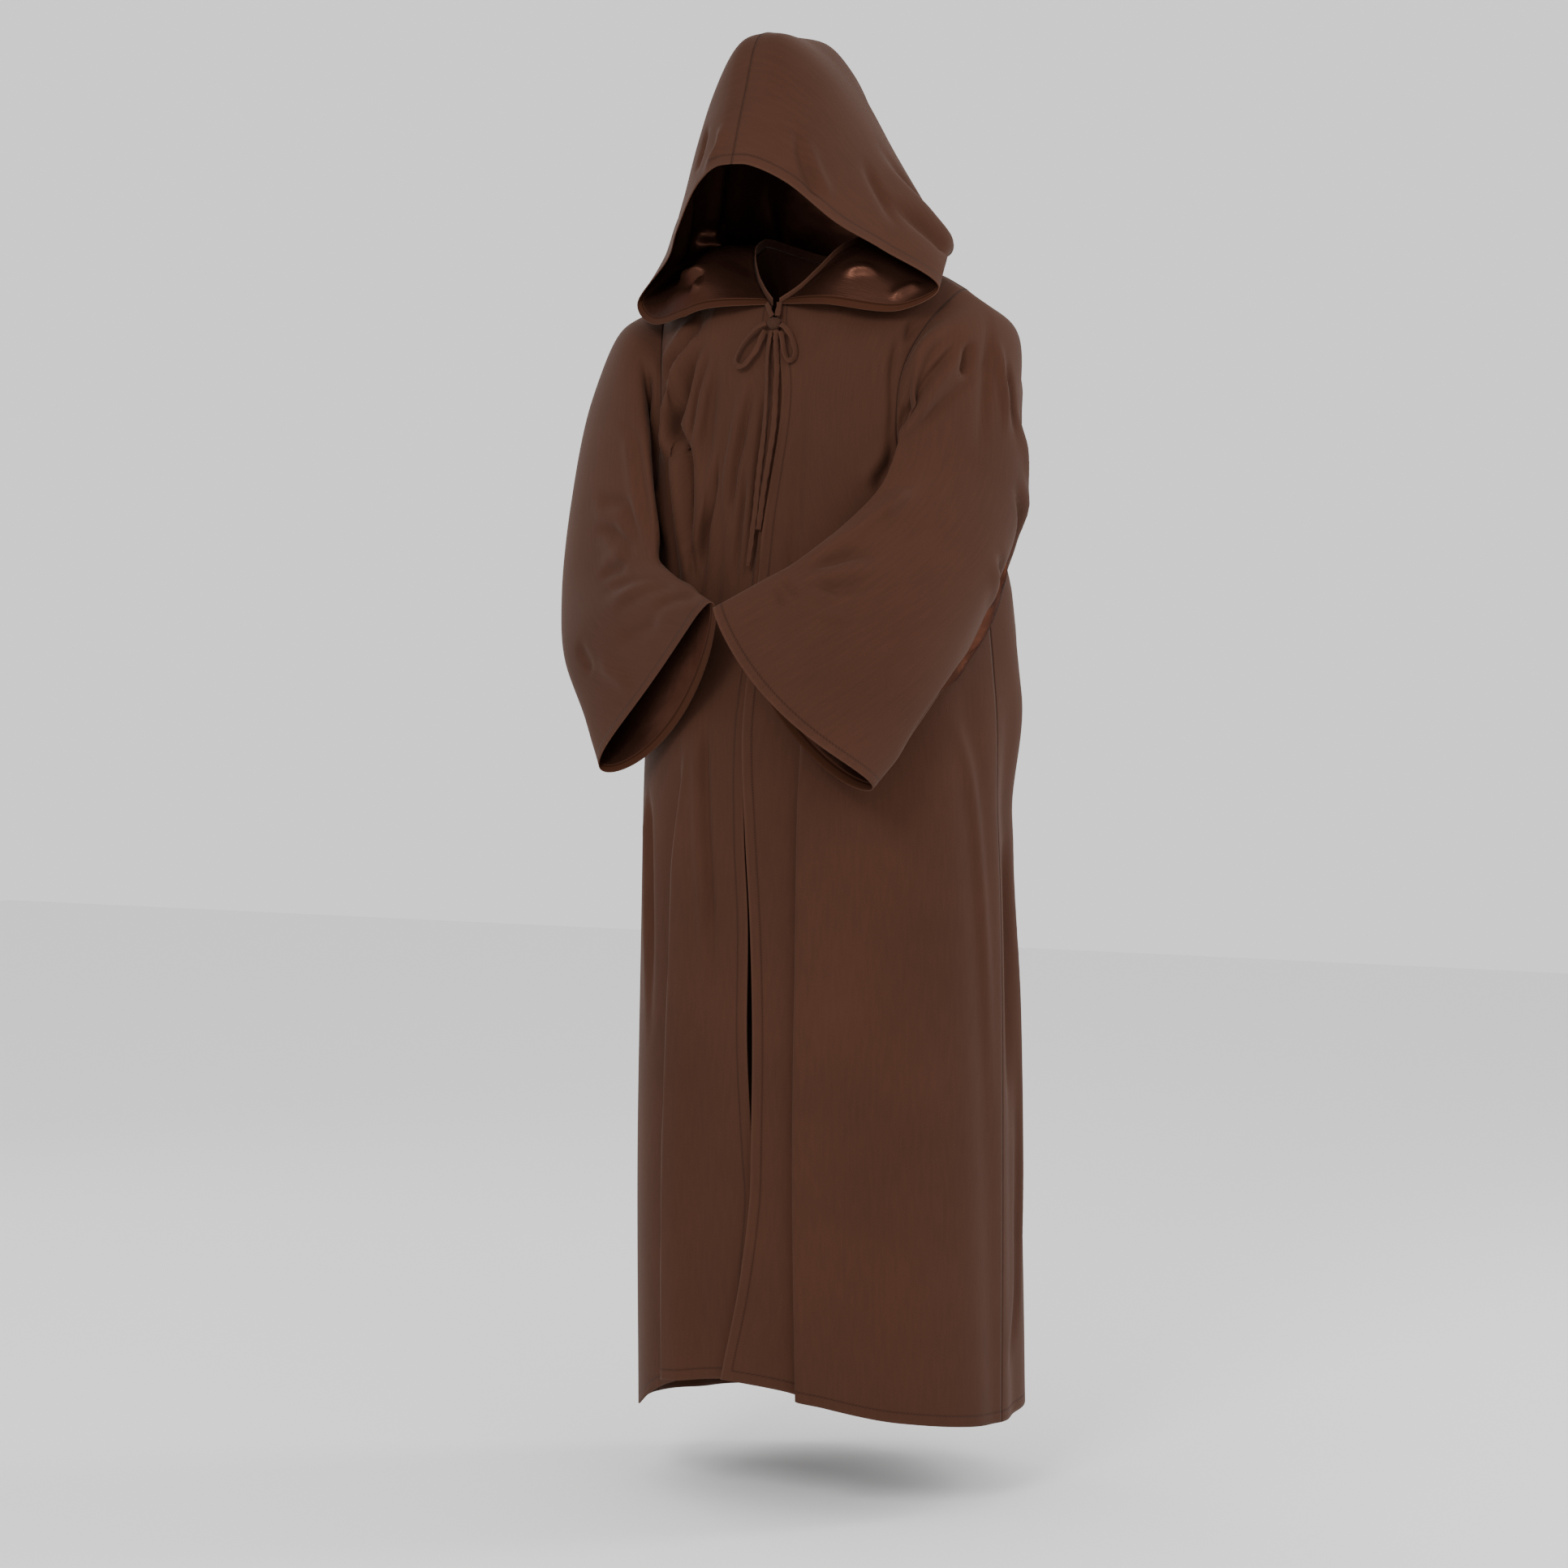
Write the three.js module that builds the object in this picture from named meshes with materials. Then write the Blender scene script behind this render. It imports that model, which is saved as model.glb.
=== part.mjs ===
// Hooded cloak with wide sleeves, open down the front and tied at the neck.
//
// Sizes are millimetres and degrees, +Z is up, the front faces -Y and the wearer's left is +X.
// The origin is the middle of the shoulders, where the wearer carries the garment.
// Each piece is a wall of cloth: a grid of points on the middle of the cloth, thickened both ways.
import * as THREE from 'three';

// Cloth and seams
const WALL = 2;
const SEAM_GAP = 0.3;
const MITRE_LIMIT = 1.5;

// Body pieces: columns run from the front edge to the side, rows from the top to the hem
const ARMHOLE_ROWS = 12;
const SKIRT_ROWS = 14;
const ROW_CROWDING = 0.55;
const FRONT_COLUMNS = 11;
const BACK_NECK_COLUMNS = 4;
const NECK_SHARE = 4 / 11;
const BACK_NECK_SHARE = 0.3;
const UNDERARM_LEVEL = -312;
const FALL_AT_FRONT = 60;
const FALL_AT_SHOULDER = 128;
const ROUND_AT_FRONT = 1.4;
const ROUND_AT_SHOULDER = 1.9;

// Other pieces
const SLEEVE_RINGS = 13;
const HOOD_RIBS = 14;
const HOOD_STEPS = 16;
const BAND_HEIGHT = 11;
const BAND_SEAM = { inward: 0.6, above: 1.4 };
const HOOD_SEAM = { outward: 2.4, above: 3.6 };
const TIE_WIDTH = 6.5;
const KNOT = { x: 9, y: -138.8, z: -27, wide: 19, deep: 13, high: 17 };

const CLOTH = { color: 0x52362a, roughness: 0.85, metalness: 0 };

// Level round sections of the body. Front and back are the foremost and rearmost y.
const BODY = [
  { level: 30, half: 214, front: -132, back: 92, middle: 0, square: 2.6 },
  { level: -100, half: 215, front: -146, back: 112, middle: 0, square: 2.6 },
  { level: -200, half: 215, front: -153, back: 120, middle: 0, square: 2.6 },
  { level: -310, half: 218, front: -158, back: 134, middle: 4, square: 2.4 },
  { level: -450, half: 228, front: -166, back: 172, middle: 10, square: 2.2 },
  { level: -600, half: 240, front: -177, back: 215, middle: 16, square: 2.05 },
  { level: -800, half: 246, front: -186, back: 240, middle: 20, square: 2 },
  { level: -1080, half: 249, front: -198, back: 268, middle: 20, square: 2 },
  { level: -1400, half: 250, front: -192, back: 292, middle: 20, square: 2 },
];

// Hem height round the body. Zero degrees is the front, +90 the wearer's left, 180 the back.
const HEM = [
  { angle: -180, level: -1408 },
  { angle: -135, level: -1418 },
  { angle: -90, level: -1404 },
  { angle: -60, level: -1398 },
  { angle: -40, level: -1362 },
  { angle: -31, level: -1346 },
  { angle: 0, level: -1331 },
  { angle: 20, level: -1352 },
  { angle: 45, level: -1376 },
  { angle: 90, level: -1396 },
  { angle: 135, level: -1392 },
  { angle: 180, level: -1408 },
];

// How far each front edge stands left of the middle, by level. Tuck is how far the right front
// goes behind the left one, and reach is the share of the width that moves with the edge.
const EDGES = [
  { level: 0, left: 5, right: -5, tuck: 0, reach: 0.3 },
  { level: -60, left: 17, right: 12, tuck: 3, reach: 0.3 },
  { level: -110, left: 24, right: 28, tuck: 5, reach: 0.3 },
  { level: -160, left: 21, right: 25, tuck: 5, reach: 0.3 },
  { level: -240, left: 9, right: 13, tuck: 5, reach: 0.3 },
  { level: -310, left: 1, right: 5, tuck: 5, reach: 0.125 },
  { level: -420, left: -10, right: -6, tuck: 5, reach: 0.125 },
  { level: -530, left: -19, right: -18, tuck: 4, reach: 0.125 },
  { level: -660, left: -10, right: -13, tuck: 3, reach: 0.125 },
  { level: -760, left: -2, right: -6, tuck: 3, reach: 0.125 },
  { level: -910, left: 5, right: -5, tuck: 6, reach: 0.125 },
  { level: -1050, left: 6, right: 4, tuck: 9, reach: 0.125 },
  { level: -1110, left: 4, right: 7, tuck: 11, reach: 0.125 },
  { level: -1215, left: -11, right: -3, tuck: 12, reach: 0.125 },
  { level: -1330, left: -37, right: -6, tuck: 12, reach: 0.125 },
  { level: -1400, left: -50, right: -6, tuck: 12, reach: 0.125 },
];

// Armhole edge: the angle where the front and back pieces end above the underarm.
const ARMHOLE = [
  { level: 20, front: 62, back: 118 },
  { level: -30, front: 52, back: 124 },
  { level: -100, front: 46, back: 130 },
  { level: -180, front: 46, back: 130 },
  { level: -240, front: 54, back: 124 },
  { level: -280, front: 70, back: 109 },
  { level: -312, front: 90, back: 90 },
];

// Neckline from the front middle to the shoulder seam, and from there to the back middle.
const NECKLINE = [
  { turn: 0, x: 5, y: -118, z: -5 },
  { turn: 0.3, x: 25, y: -103, z: 12 },
  { turn: 0.6, x: 43, y: -87, z: 34 },
  { turn: 0.85, x: 62, y: -56, z: 64 },
  { turn: 1, x: 74, y: -5, z: 79 },
  { turn: 1.35, x: 63, y: 44, z: 73 },
  { turn: 1.7, x: 32, y: 74, z: 62 },
  { turn: 2, x: 0, y: 84, z: 58 },
];

// Shoulder seam from the neck to the tip.
const SHOULDER = [
  { along: 0, x: 74, y: -5, z: 79 },
  { along: 0.25, x: 107, y: -6, z: 57 },
  { along: 0.5, x: 142, y: -6, z: 45 },
  { along: 0.75, x: 176, y: -6, z: 34 },
  { along: 1, x: 207, y: -6, z: 17 },
];

// Soft folds pressed into the body. Depth below zero stands out.
const SOFT_FOLDS = [
  { top: 0, bottom: -420, angleTop: -14, angleBottom: -24, width: 3.2, depth: 9 },
  { top: -40, bottom: -420, angleTop: -8, angleBottom: -16, width: 2.6, depth: 5 },
  { top: -20, bottom: -420, angleTop: -36, angleBottom: -33, width: 3, depth: 7 },
  { top: -60, bottom: -520, angleTop: 8, angleBottom: 9, width: 2.4, depth: 5 },
  { top: -200, bottom: -610, angleTop: 114, angleBottom: 112, width: 22, depth: -26 },
  { top: -420, bottom: -1500, angleTop: 74, angleBottom: 86, width: 7, depth: 6 },
  { top: -420, bottom: -1500, angleTop: 98, angleBottom: 102, width: 7, depth: 8 },
  { top: -180, bottom: -1500, angleTop: 138, angleBottom: 140, width: 8, depth: 13 },
  { top: -60, bottom: -1500, angleTop: 166, angleBottom: 170, width: 7, depth: 13 },
  { top: -240, bottom: -1500, angleTop: 200, angleBottom: 197, width: 8, depth: 10 },
  { top: -140, bottom: -1500, angleTop: 224, angleBottom: 227, width: 8, depth: 13 },
  { top: -560, bottom: -1500, angleTop: 250, angleBottom: 252, width: 7, depth: 11 },
];
const SOFT_FADE = 160;

// Deep folds, where the proud side laps over the side that is tucked behind it.
// Proud is the side that stands out: 1 towards the wearer's left, -1 towards the right.
const DEEP_FOLDS = [
  { top: -430, angleTop: 14.5, angleBottom: 15.5, proud: 1, height: 17, lap: 9, run: 100 },
  { top: -520, angleTop: -27, angleBottom: -31, proud: 1, height: 22, lap: 11, run: 75 },
];
const DEEP_FADE = 190;
const FOLD_STEP = 7;
const FOLD_RADIUS = 225;
const FOLD_OFFSETS = [-2.4, -1.3, -0.5, 0.3, 1.1, 2.2];

// Rings of the wearer's left sleeve: outer, front, inner and back point of each.
const LEFT_SLEEVE = [
  { outer: [250, -8, -20], front: [186, -112, -105], inner: [238, 4, -303], back: [224, 92, -110] },
  { outer: [262, -18, -100], front: [182, -140, -175], inner: [244, -22, -340], back: [232, 78, -190] },
  { outer: [272, -38, -215], front: [168, -166, -235], inner: [240, -66, -392], back: [244, 38, -305] },
  { outer: [266, -108, -300], front: [138, -196, -278], inner: [220, -122, -440], back: [248, -38, -384] },
  { outer: [220, -196, -372], front: [98, -228, -318], inner: [172, -178, -468], back: [236, -116, -468] },
  { outer: [150, -264, -430], front: [58, -268, -348], inner: [118, -206, -500], back: [218, -184, -534] },
  { outer: [86, -308, -480], front: [20, -306, -378], inner: [92, -222, -543], back: [198, -248, -584] },
];

// Rings of the wearer's right sleeve, in the same order of points.
const RIGHT_SLEEVE = [
  { outer: [-266, -22, -20], front: [-188, -108, -102], inner: [-242, 6, -301], back: [-228, 94, -110] },
  { outer: [-306, -44, -108], front: [-164, -146, -190], inner: [-252, -18, -340], back: [-266, 80, -190] },
  { outer: [-328, -62, -240], front: [-150, -160, -262], inner: [-252, -48, -385], back: [-304, 48, -290] },
  { outer: [-324, -84, -350], front: [-134, -180, -316], inner: [-244, -92, -430], back: [-318, -12, -392] },
  { outer: [-280, -132, -420], front: [-100, -202, -336], inner: [-206, -128, -470], back: [-302, -68, -470] },
  { outer: [-208, -168, -450], front: [-60, -224, -352], inner: [-150, -158, -500], back: [-270, -112, -532] },
  { outer: [-128, -196, -462], front: [-14, -250, -372], inner: [-112, -170, -520], back: [-234, -152, -578] },
];

// Ribs of half the hood, from the free edge round the face to the seam down the back.
// Each goes up from the neckline: lip, fold, hip, side, crown, then the middle seam.
const HOOD = [
  { lip: [78, -140, -5], fold: [168, -112, -14], tip: [206, -82, 14], hip: [146, -116, 60],
    side: [108, -164, 90], crown: [60, -206, 138], ridge: [22, -229, 158], seam: [0, -232, 160] },
  { lip: [102, -102, 52], fold: [168, -82, 17], tip: [198, -52, 38], hip: [162, -72, 88],
    side: [120, -116, 142], crown: [69, -168, 214], ridge: [24, -195, 242], seam: [0, -198, 246] },
  { lip: [116, -42, 80], fold: [164, -28, 54], tip: [184, -10, 64], hip: [164, -24, 104],
    side: [118, -68, 178], crown: [70, -124, 272], ridge: [26, -156, 316], seam: [0, -160, 321] },
  { lip: [110, 22, 78], fold: [142, 28, 54], tip: [160, 32, 70], hip: [146, 22, 110],
    side: [104, -12, 196], crown: [58, -60, 290], ridge: [24, -84, 324], seam: [0, -88, 330] },
  { lip: [72, 80, 58], fold: [94, 92, 40], tip: [106, 96, 62], hip: [96, 86, 110],
    side: [70, 52, 200], crown: [46, 2, 290], ridge: [20, -10, 324], seam: [0, -12, 330] },
  { lip: [0, 98, 50], fold: [0, 110, 42], tip: [0, 116, 64], hip: [0, 110, 110],
    side: [0, 92, 200], crown: [0, 52, 278], ridge: [0, 32, 304], seam: [0, 24, 314] },
];
const RIGHT_HOOD = { spread: 1.06, drop: -6 };

// Routes of the tie: two bow loops and two hanging ends.
const ROOT_LEFT = [[9, -125, 0], [10.2, -128.7, -5.7], [11.3, -133.1, -11.4], [12.5, -137.4, -17.3]];
const ROOT_RIGHT = [[-9.5, -124.4, -1], [-4.6, -128.2, -6.4], [0.1, -133, -11.9], [5.3, -137.8, -17.4]];
const LOOP_RIGHT = [
  [-1.2, -140.6, -26], [-9, -143, -29], [-20, -145, -38], [-31, -146, -50], [-38, -147, -62],
  [-41, -148, -71], [-37, -149, -78], [-29, -150, -78], [-20, -150, -70], [-11, -149, -59],
  [-6, -147, -47], [-2, -143, -35],
];
const LOOP_LEFT = [
  [19, -140.6, -28], [27, -143, -33], [36, -145, -44], [41, -147, -55], [43, -148, -65],
  [40, -149, -72], [34, -150, -72], [29, -150, -63], [26, -149, -50], [21, -144, -37],
];
const END_RIGHT = [
  [5.4, -141, -35.3], [5, -144, -46], [4, -146.5, -60], [4, -149, -80], [5, -151.5, -105],
  [5, -154, -130], [4, -156, -155], [2, -158, -180], [-1, -159, -205], [-3, -161, -230],
  [-5, -162, -255], [-8, -163.5, -280], [-11, -164.5, -305], [-14, -165, -325],
];
const END_LEFT = [
  [12.4, -141, -34.9], [14, -144, -46], [16, -146.5, -60], [18, -149, -80], [18, -151.5, -105],
  [18, -154, -130], [17, -156, -155], [14, -158, -180], [10, -159, -205], [6, -161, -230],
  [3, -162, -255], [0, -163.5, -280],
];

const RADIANS = Math.PI / 180;

// A column of a table at a place between its rows, eased by a cubic through the rows.
function tableAt(table, key, place, column) {
  const last = table.length - 1;
  const rising = table[last][key] > table[0][key];
  let i = 0;
  while (i < last - 1 && (rising ? place > table[i + 1][key] : place < table[i + 1][key])) i += 1;
  const at = (n) => table[Math.min(Math.max(n, 0), last)];
  const slope = (n) => {
    const before = at(n - 1);
    const after = at(n + 1);
    return (after[column] - before[column]) / (after[key] - before[key]);
  };
  const span = at(i + 1)[key] - at(i)[key];
  const t = Math.min(Math.max((place - at(i)[key]) / span, 0), 1);
  return at(i)[column] * (1 + 2 * t) * (1 - t) ** 2 + slope(i) * span * t * (1 - t) ** 2
    + at(i + 1)[column] * t * t * (3 - 2 * t) - slope(i + 1) * span * t * t * (1 - t);
}

function tablePoint(table, key, place) {
  return new THREE.Vector3(...['x', 'y', 'z'].map((axis) => tableAt(table, key, place, axis)));
}

function smoothStep(value) {
  const t = Math.min(Math.max(value, 0), 1);
  return t * t * (3 - 2 * t);
}

// Point of the plain round section at an angle and level, with the way out from it.
function sectionPoint(angle, level) {
  const at = (column) => tableAt(BODY, 'level', level, column);
  const sine = Math.sin(angle * RADIANS);
  const cosine = Math.cos(angle * RADIANS);
  const power = 2 / at('square');
  const depth = cosine > 0 ? at('middle') - at('front') : at('back') - at('middle');
  const x = at('half') * Math.sign(sine) * Math.abs(sine) ** power;
  const y = at('middle') - depth * Math.sign(cosine) * Math.abs(cosine) ** power;
  const out = new THREE.Vector2(sine / at('half'), -cosine / depth).normalize();
  return { x, y, out };
}

// Angle near the front at which the plain section is at x.
function angleOfX(x, level) {
  const share = Math.abs(x) / tableAt(BODY, 'level', level, 'half');
  return Math.sign(x) * Math.asin(share ** (tableAt(BODY, 'level', level, 'square') / 2)) / RADIANS;
}

// How far the cloth moves out of the plain section, and along it, at its folds.
function foldAt(angle, level) {
  let outward = 0;
  let along = 0;
  const turn = angle < -90 ? angle + 360 : angle;
  for (const fold of SOFT_FOLDS) {
    const share = (fold.top - level) / (fold.top - fold.bottom);
    const middle = fold.angleTop + (fold.angleBottom - fold.angleTop) * Math.min(Math.max(share, 0), 1);
    const strength = smoothStep((fold.top - level) / SOFT_FADE)
      * smoothStep((level - fold.bottom) / SOFT_FADE + 0.2);
    outward -= fold.depth * strength * Math.exp(-(((turn - middle) / fold.width) ** 2));
  }
  for (const fold of DEEP_FOLDS) {
    const share = Math.min(Math.max((fold.top - level) / 900, 0), 1);
    const middle = fold.angleTop + (fold.angleBottom - fold.angleTop) * share;
    const strength = smoothStep((fold.top - level) / DEEP_FADE);
    const away = (turn - middle) * RADIANS * FOLD_RADIUS * fold.proud / FOLD_STEP;
    const rise = smoothStep((away + 1.2) / 2.4);
    const settle = fold.run / FOLD_STEP;
    const spread = away > 0 ? Math.exp(-((away / settle) ** 2)) : Math.exp(-((1.6 * away / settle) ** 2));
    outward += strength * fold.height * (rise - 0.45) * spread;
    const over = Math.exp(-(((away - 1.2) / 1.6) ** 2));
    const under = Math.exp(-(((away + 1.4) / 1.6) ** 2));
    along -= strength * fold.lap * fold.proud * (over - 0.7 * under);
  }
  return { outward, along };
}

// Where a front piece tucks behind the other at its edge.
function tuckAt(angle, level, side) {
  if (side > 0) return 0;
  return tableAt(EDGES, 'level', level, 'tuck') * smoothStep((angle + 26) / 10);
}

// Point of the body at an angle and level, below a point of its top edge.
function bodyPoint(top, angle, level, drape, side) {
  const section = sectionPoint(angle, level);
  const fold = foldAt(angle, level);
  const outward = fold.outward - tuckAt(angle, level, side);
  const { fall, round } = drape;
  const down = Math.min(Math.max((top.z - level) / fall, 0), 1);
  const spread = (1 - (1 - down) ** round) ** (1 / round);
  const x = section.x + section.out.x * outward - section.out.y * fold.along;
  const y = section.y + section.out.y * outward + section.out.x * fold.along;
  return new THREE.Vector3(
    THREE.MathUtils.lerp(top.x, x, spread), THREE.MathUtils.lerp(top.y, y, spread), level);
}

// Levels of a column from its top to the underarm line, then on to the hem.
// Rows are closer together at the top and at the underarm.
function rowLevels(topLevel, hemLevel) {
  const levels = [];
  for (let row = 0; row <= ARMHOLE_ROWS; row += 1) {
    const share = row / ARMHOLE_ROWS;
    const eased = share - ROW_CROWDING * Math.sin(2 * Math.PI * share) / (2 * Math.PI);
    levels.push(THREE.MathUtils.lerp(topLevel, UNDERARM_LEVEL, eased));
  }
  for (let row = 1; row <= SKIRT_ROWS; row += 1) {
    levels.push(THREE.MathUtils.lerp(UNDERARM_LEVEL, hemLevel, row / SKIRT_ROWS));
  }
  return levels;
}

// Shares of a front piece's width where its columns run, closer together at the deep folds.
function frontShares(side) {
  const shares = [];
  for (let column = 0; column <= FRONT_COLUMNS; column += 1) shares.push(column / FRONT_COLUMNS);
  for (const fold of DEEP_FOLDS) {
    const middle = fold.angleBottom * side / 90;
    if (middle < 0) continue;
    const step = FOLD_STEP / FOLD_RADIUS / RADIANS / 90;
    const near = 3 * step;
    const kept = shares.filter((share) => Math.abs(share - middle) > near || share === NECK_SHARE);
    shares.splice(0, shares.length, ...kept);
    for (const offset of FOLD_OFFSETS) shares.push(middle + offset * step);
  }
  return shares.sort((a, b) => a - b).filter((share, i, all) => i === 0 || share - all[i - 1] > 0.003);
}

// The top edge of a body piece: along the neckline, then along the shoulder seam.
function topPoint(share, neckShare, side, neckTurn) {
  const point = share <= neckShare
    ? tablePoint(NECKLINE, 'turn', neckTurn(share / neckShare))
    : tablePoint(SHOULDER, 'along', (share - neckShare) / (1 - neckShare));
  point.x *= side;
  return point;
}

// How soon and how roundly a column falls from the top edge to the plain section.
function drapeAt(share, neckShare) {
  return {
    fall: THREE.MathUtils.lerp(FALL_AT_FRONT, FALL_AT_SHOULDER, smoothStep(share / neckShare)),
    round: THREE.MathUtils.lerp(ROUND_AT_FRONT, ROUND_AT_SHOULDER, smoothStep((share - neckShare) * 2)),
  };
}

function frontGrid(side) {
  const edge = side > 0 ? 'left' : 'right';
  return frontShares(side).map((share) => {
    const top = topPoint(share, NECK_SHARE, side, (turn) => turn);
    const drape = drapeAt(share, NECK_SHARE);
    const hem = tableAt(HEM, 'angle', side * share * 90, 'level');
    return rowLevels(top.z, hem).map((level, row) => {
      const start = side * angleOfX(tableAt(EDGES, 'level', level, edge), level);
      const outer = row < ARMHOLE_ROWS ? tableAt(ARMHOLE, 'level', level, 'front') : 90;
      const reach = tableAt(EDGES, 'level', level, 'reach');
      const angle = outer * share + start * smoothStep(1 - share / reach);
      return bodyPoint(top, side * angle, level, drape, side);
    });
  });
}

// The back piece runs from the wearer's left side round to the right side.
function backGrid() {
  const half = (side) => {
    const neck = [];
    for (let column = 0; column < BACK_NECK_COLUMNS; column += 1) {
      neck.push(column / BACK_NECK_COLUMNS * BACK_NECK_SHARE);
    }
    const shoulder = frontShares(side).filter((share) => share >= NECK_SHARE).map(
      (share) => BACK_NECK_SHARE + (share - NECK_SHARE) / (1 - NECK_SHARE) * (1 - BACK_NECK_SHARE));
    return [...neck, ...shoulder].map((share) => {
      const top = topPoint(share, BACK_NECK_SHARE, side, (turn) => 2 - turn);
      const drape = drapeAt(share, BACK_NECK_SHARE);
      const hem = tableAt(HEM, 'angle', side * (180 - 90 * share), 'level');
      return rowLevels(top.z, hem).map((level, row) => {
        const outer = row < ARMHOLE_ROWS ? tableAt(ARMHOLE, 'level', level, 'back') : 90;
        return bodyPoint(top, side * (180 + (outer - 180) * share), level, drape, 1);
      });
    });
  };
  const left = half(1).reverse();
  return [...left, ...half(-1).slice(1)];
}

// Outward direction at each point of a grid, from the points beside it.
function gridNormals(grid, closed, flip) {
  const columns = grid.length;
  return grid.map((column, i) => column.map((point, j) => {
    const before = closed ? grid[(i - 1 + columns) % columns][j] : grid[Math.max(i - 1, 0)][j];
    const after = closed ? grid[(i + 1) % columns][j] : grid[Math.min(i + 1, columns - 1)][j];
    const across = after.clone().sub(before);
    const down = column[Math.min(j + 1, column.length - 1)].clone().sub(column[Math.max(j - 1, 0)]);
    return across.cross(down).multiplyScalar(flip ? 1 : -1).normalize();
  }));
}

// Outward directions at the edges, of all pieces that meet there, so that seams are mitred.
const seamNormals = new Map();
const seamKey = (point) => point.toArray().map((value) => Math.round(value * 100) + 0).join();

function isEdge(grid, i, j, closed) {
  return (!closed && (i === 0 || i === grid.length - 1)) || j === 0 || j === grid[i].length - 1;
}

function makePiece(name, grid, options) {
  const normals = gridNormals(grid, options.closed, options.flip);
  if (!options.closed) {
    // A corner faces as the point inside it does
    const [columns, rows] = [grid.length, grid[0].length];
    for (const [i, inner] of [[0, 1], [columns - 1, columns - 2]]) {
      normals[i][0] = normals[inner][1].clone();
      normals[i][rows - 1] = normals[inner][rows - 2].clone();
    }
  }
  grid.forEach((column, i) => column.forEach((point, j) => {
    if (!isEdge(grid, i, j, options.closed)) return;
    const met = seamNormals.get(seamKey(point)) ?? [];
    seamNormals.set(seamKey(point), [...met, normals[i][j]]);
  }));
  return { name, grid, normals, ...options };
}

// Moves an edge point into its own piece, square to the edge, by half a seam gap.
function pulledIn(grid, i, j, closed) {
  const point = grid[i][j].clone();
  const lastColumn = grid.length - 1;
  const lastRow = grid[i].length - 1;
  const above = grid[i][Math.max(j - 1, 0)];
  const below = grid[i][Math.min(j + 1, lastRow)];
  const before = closed ? grid.at(i - 1)[j] : grid[Math.max(i - 1, 0)][j];
  const after = closed ? grid[(i + 1) % grid.length][j] : grid[Math.min(i + 1, lastColumn)][j];
  const pull = (next, start, end) => {
    const along = end.clone().sub(start).normalize();
    const inward = next.clone().sub(grid[i][j]);
    inward.addScaledVector(along, -inward.dot(along)).normalize();
    point.addScaledVector(inward, SEAM_GAP / 2);
  };
  if (!closed && i === 0) pull(after, above, below);
  if (!closed && i === lastColumn) pull(before, above, below);
  if (j === 0) pull(below, before, after);
  if (j === lastRow) pull(above, before, after);
  return point;
}

// Thickens a grid into one closed wall of cloth.
function wallGeometry(piece) {
  const { grid, normals, closed, flip } = piece;
  const columns = grid.length;
  const rows = grid[0].length;
  const faces = [[], []];
  grid.forEach((column, i) => column.forEach((point, j) => {
    const middle = pulledIn(grid, i, j, closed);
    const met = isEdge(grid, i, j, closed) ? seamNormals.get(seamKey(point)) : [normals[i][j]];
    const sum = met.reduce((total, normal) => total.add(normal), new THREE.Vector3());
    const mitre = Math.min(met.length / sum.length(), MITRE_LIMIT) / sum.length();
    faces[0].push(middle.clone().addScaledVector(sum, mitre * WALL / 2));
    faces[1].push(middle.clone().addScaledVector(sum, -mitre * WALL / 2));
  }));
  const positions = [...faces[0], ...faces[1]].flatMap((point) => point.toArray());
  const under = columns * rows;
  const index = [];
  const quad = (a, b, c, d, across) => {
    const corners = across ? [a, b, d, b, c, d] : [a, b, c, a, c, d];
    index.push(...(flip ? corners : corners.reverse()));
  };
  // Both pieces at a seam split its edge faces the same way: from the outer side of the higher end.
  const height = grid.flat().map((point) => point.z + point.y * 0.31 + point.x * 0.17);
  const strip = (a, b) => quad(a, b, b + under, a + under, height[b] > height[a]);
  const at = (i, j) => (i % columns) * rows + j;
  const spans = closed ? columns : columns - 1;
  for (let i = 0; i < spans; i += 1) {
    for (let j = 0; j < rows - 1; j += 1) {
      const corners = [at(i, j), at(i + 1, j), at(i + 1, j + 1), at(i, j + 1)];
      const [a, b, c, d] = corners.map((corner) => faces[0][corner]);
      const across = b.distanceTo(d) < a.distanceTo(c);
      quad(...corners, across);
      quad(...[0, 3, 2, 1].map((corner) => corners[corner] + under), across);
    }
    strip(at(i + 1, 0), at(i, 0));
    strip(at(i, rows - 1), at(i + 1, rows - 1));
  }
  if (!closed) {
    for (let j = 0; j < rows - 1; j += 1) {
      strip(at(0, j), at(0, j + 1));
      strip(at(columns - 1, j + 1), at(columns - 1, j));
    }
  }
  const geometry = new THREE.BufferGeometry();
  geometry.setAttribute('position', new THREE.Float32BufferAttribute(positions, 3));
  geometry.setIndex(index);
  geometry.computeVertexNormals();
  return geometry;
}

// Ring of a sleeve through its four rail points, as an oval that may be pinched.
function sleeveRing(row, count) {
  const [outer, front, inner, back] = [row.outer, row.front, row.inner, row.back].map(
    (place) => new THREE.Vector3(...place));
  return Array.from({ length: count }, (_, step) => {
    const turn = step / count * 2 * Math.PI;
    const weights = [
      [outer, (1 + Math.cos(2 * turn)) / 4 + Math.cos(turn) / 2],
      [inner, (1 + Math.cos(2 * turn)) / 4 - Math.cos(turn) / 2],
      [front, (1 - Math.cos(2 * turn)) / 4 + Math.sin(turn) / 2],
      [back, (1 - Math.cos(2 * turn)) / 4 - Math.sin(turn) / 2],
    ];
    return weights.reduce((sum, [place, weight]) => sum.addScaledVector(place, weight), new THREE.Vector3());
  });
}

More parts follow.
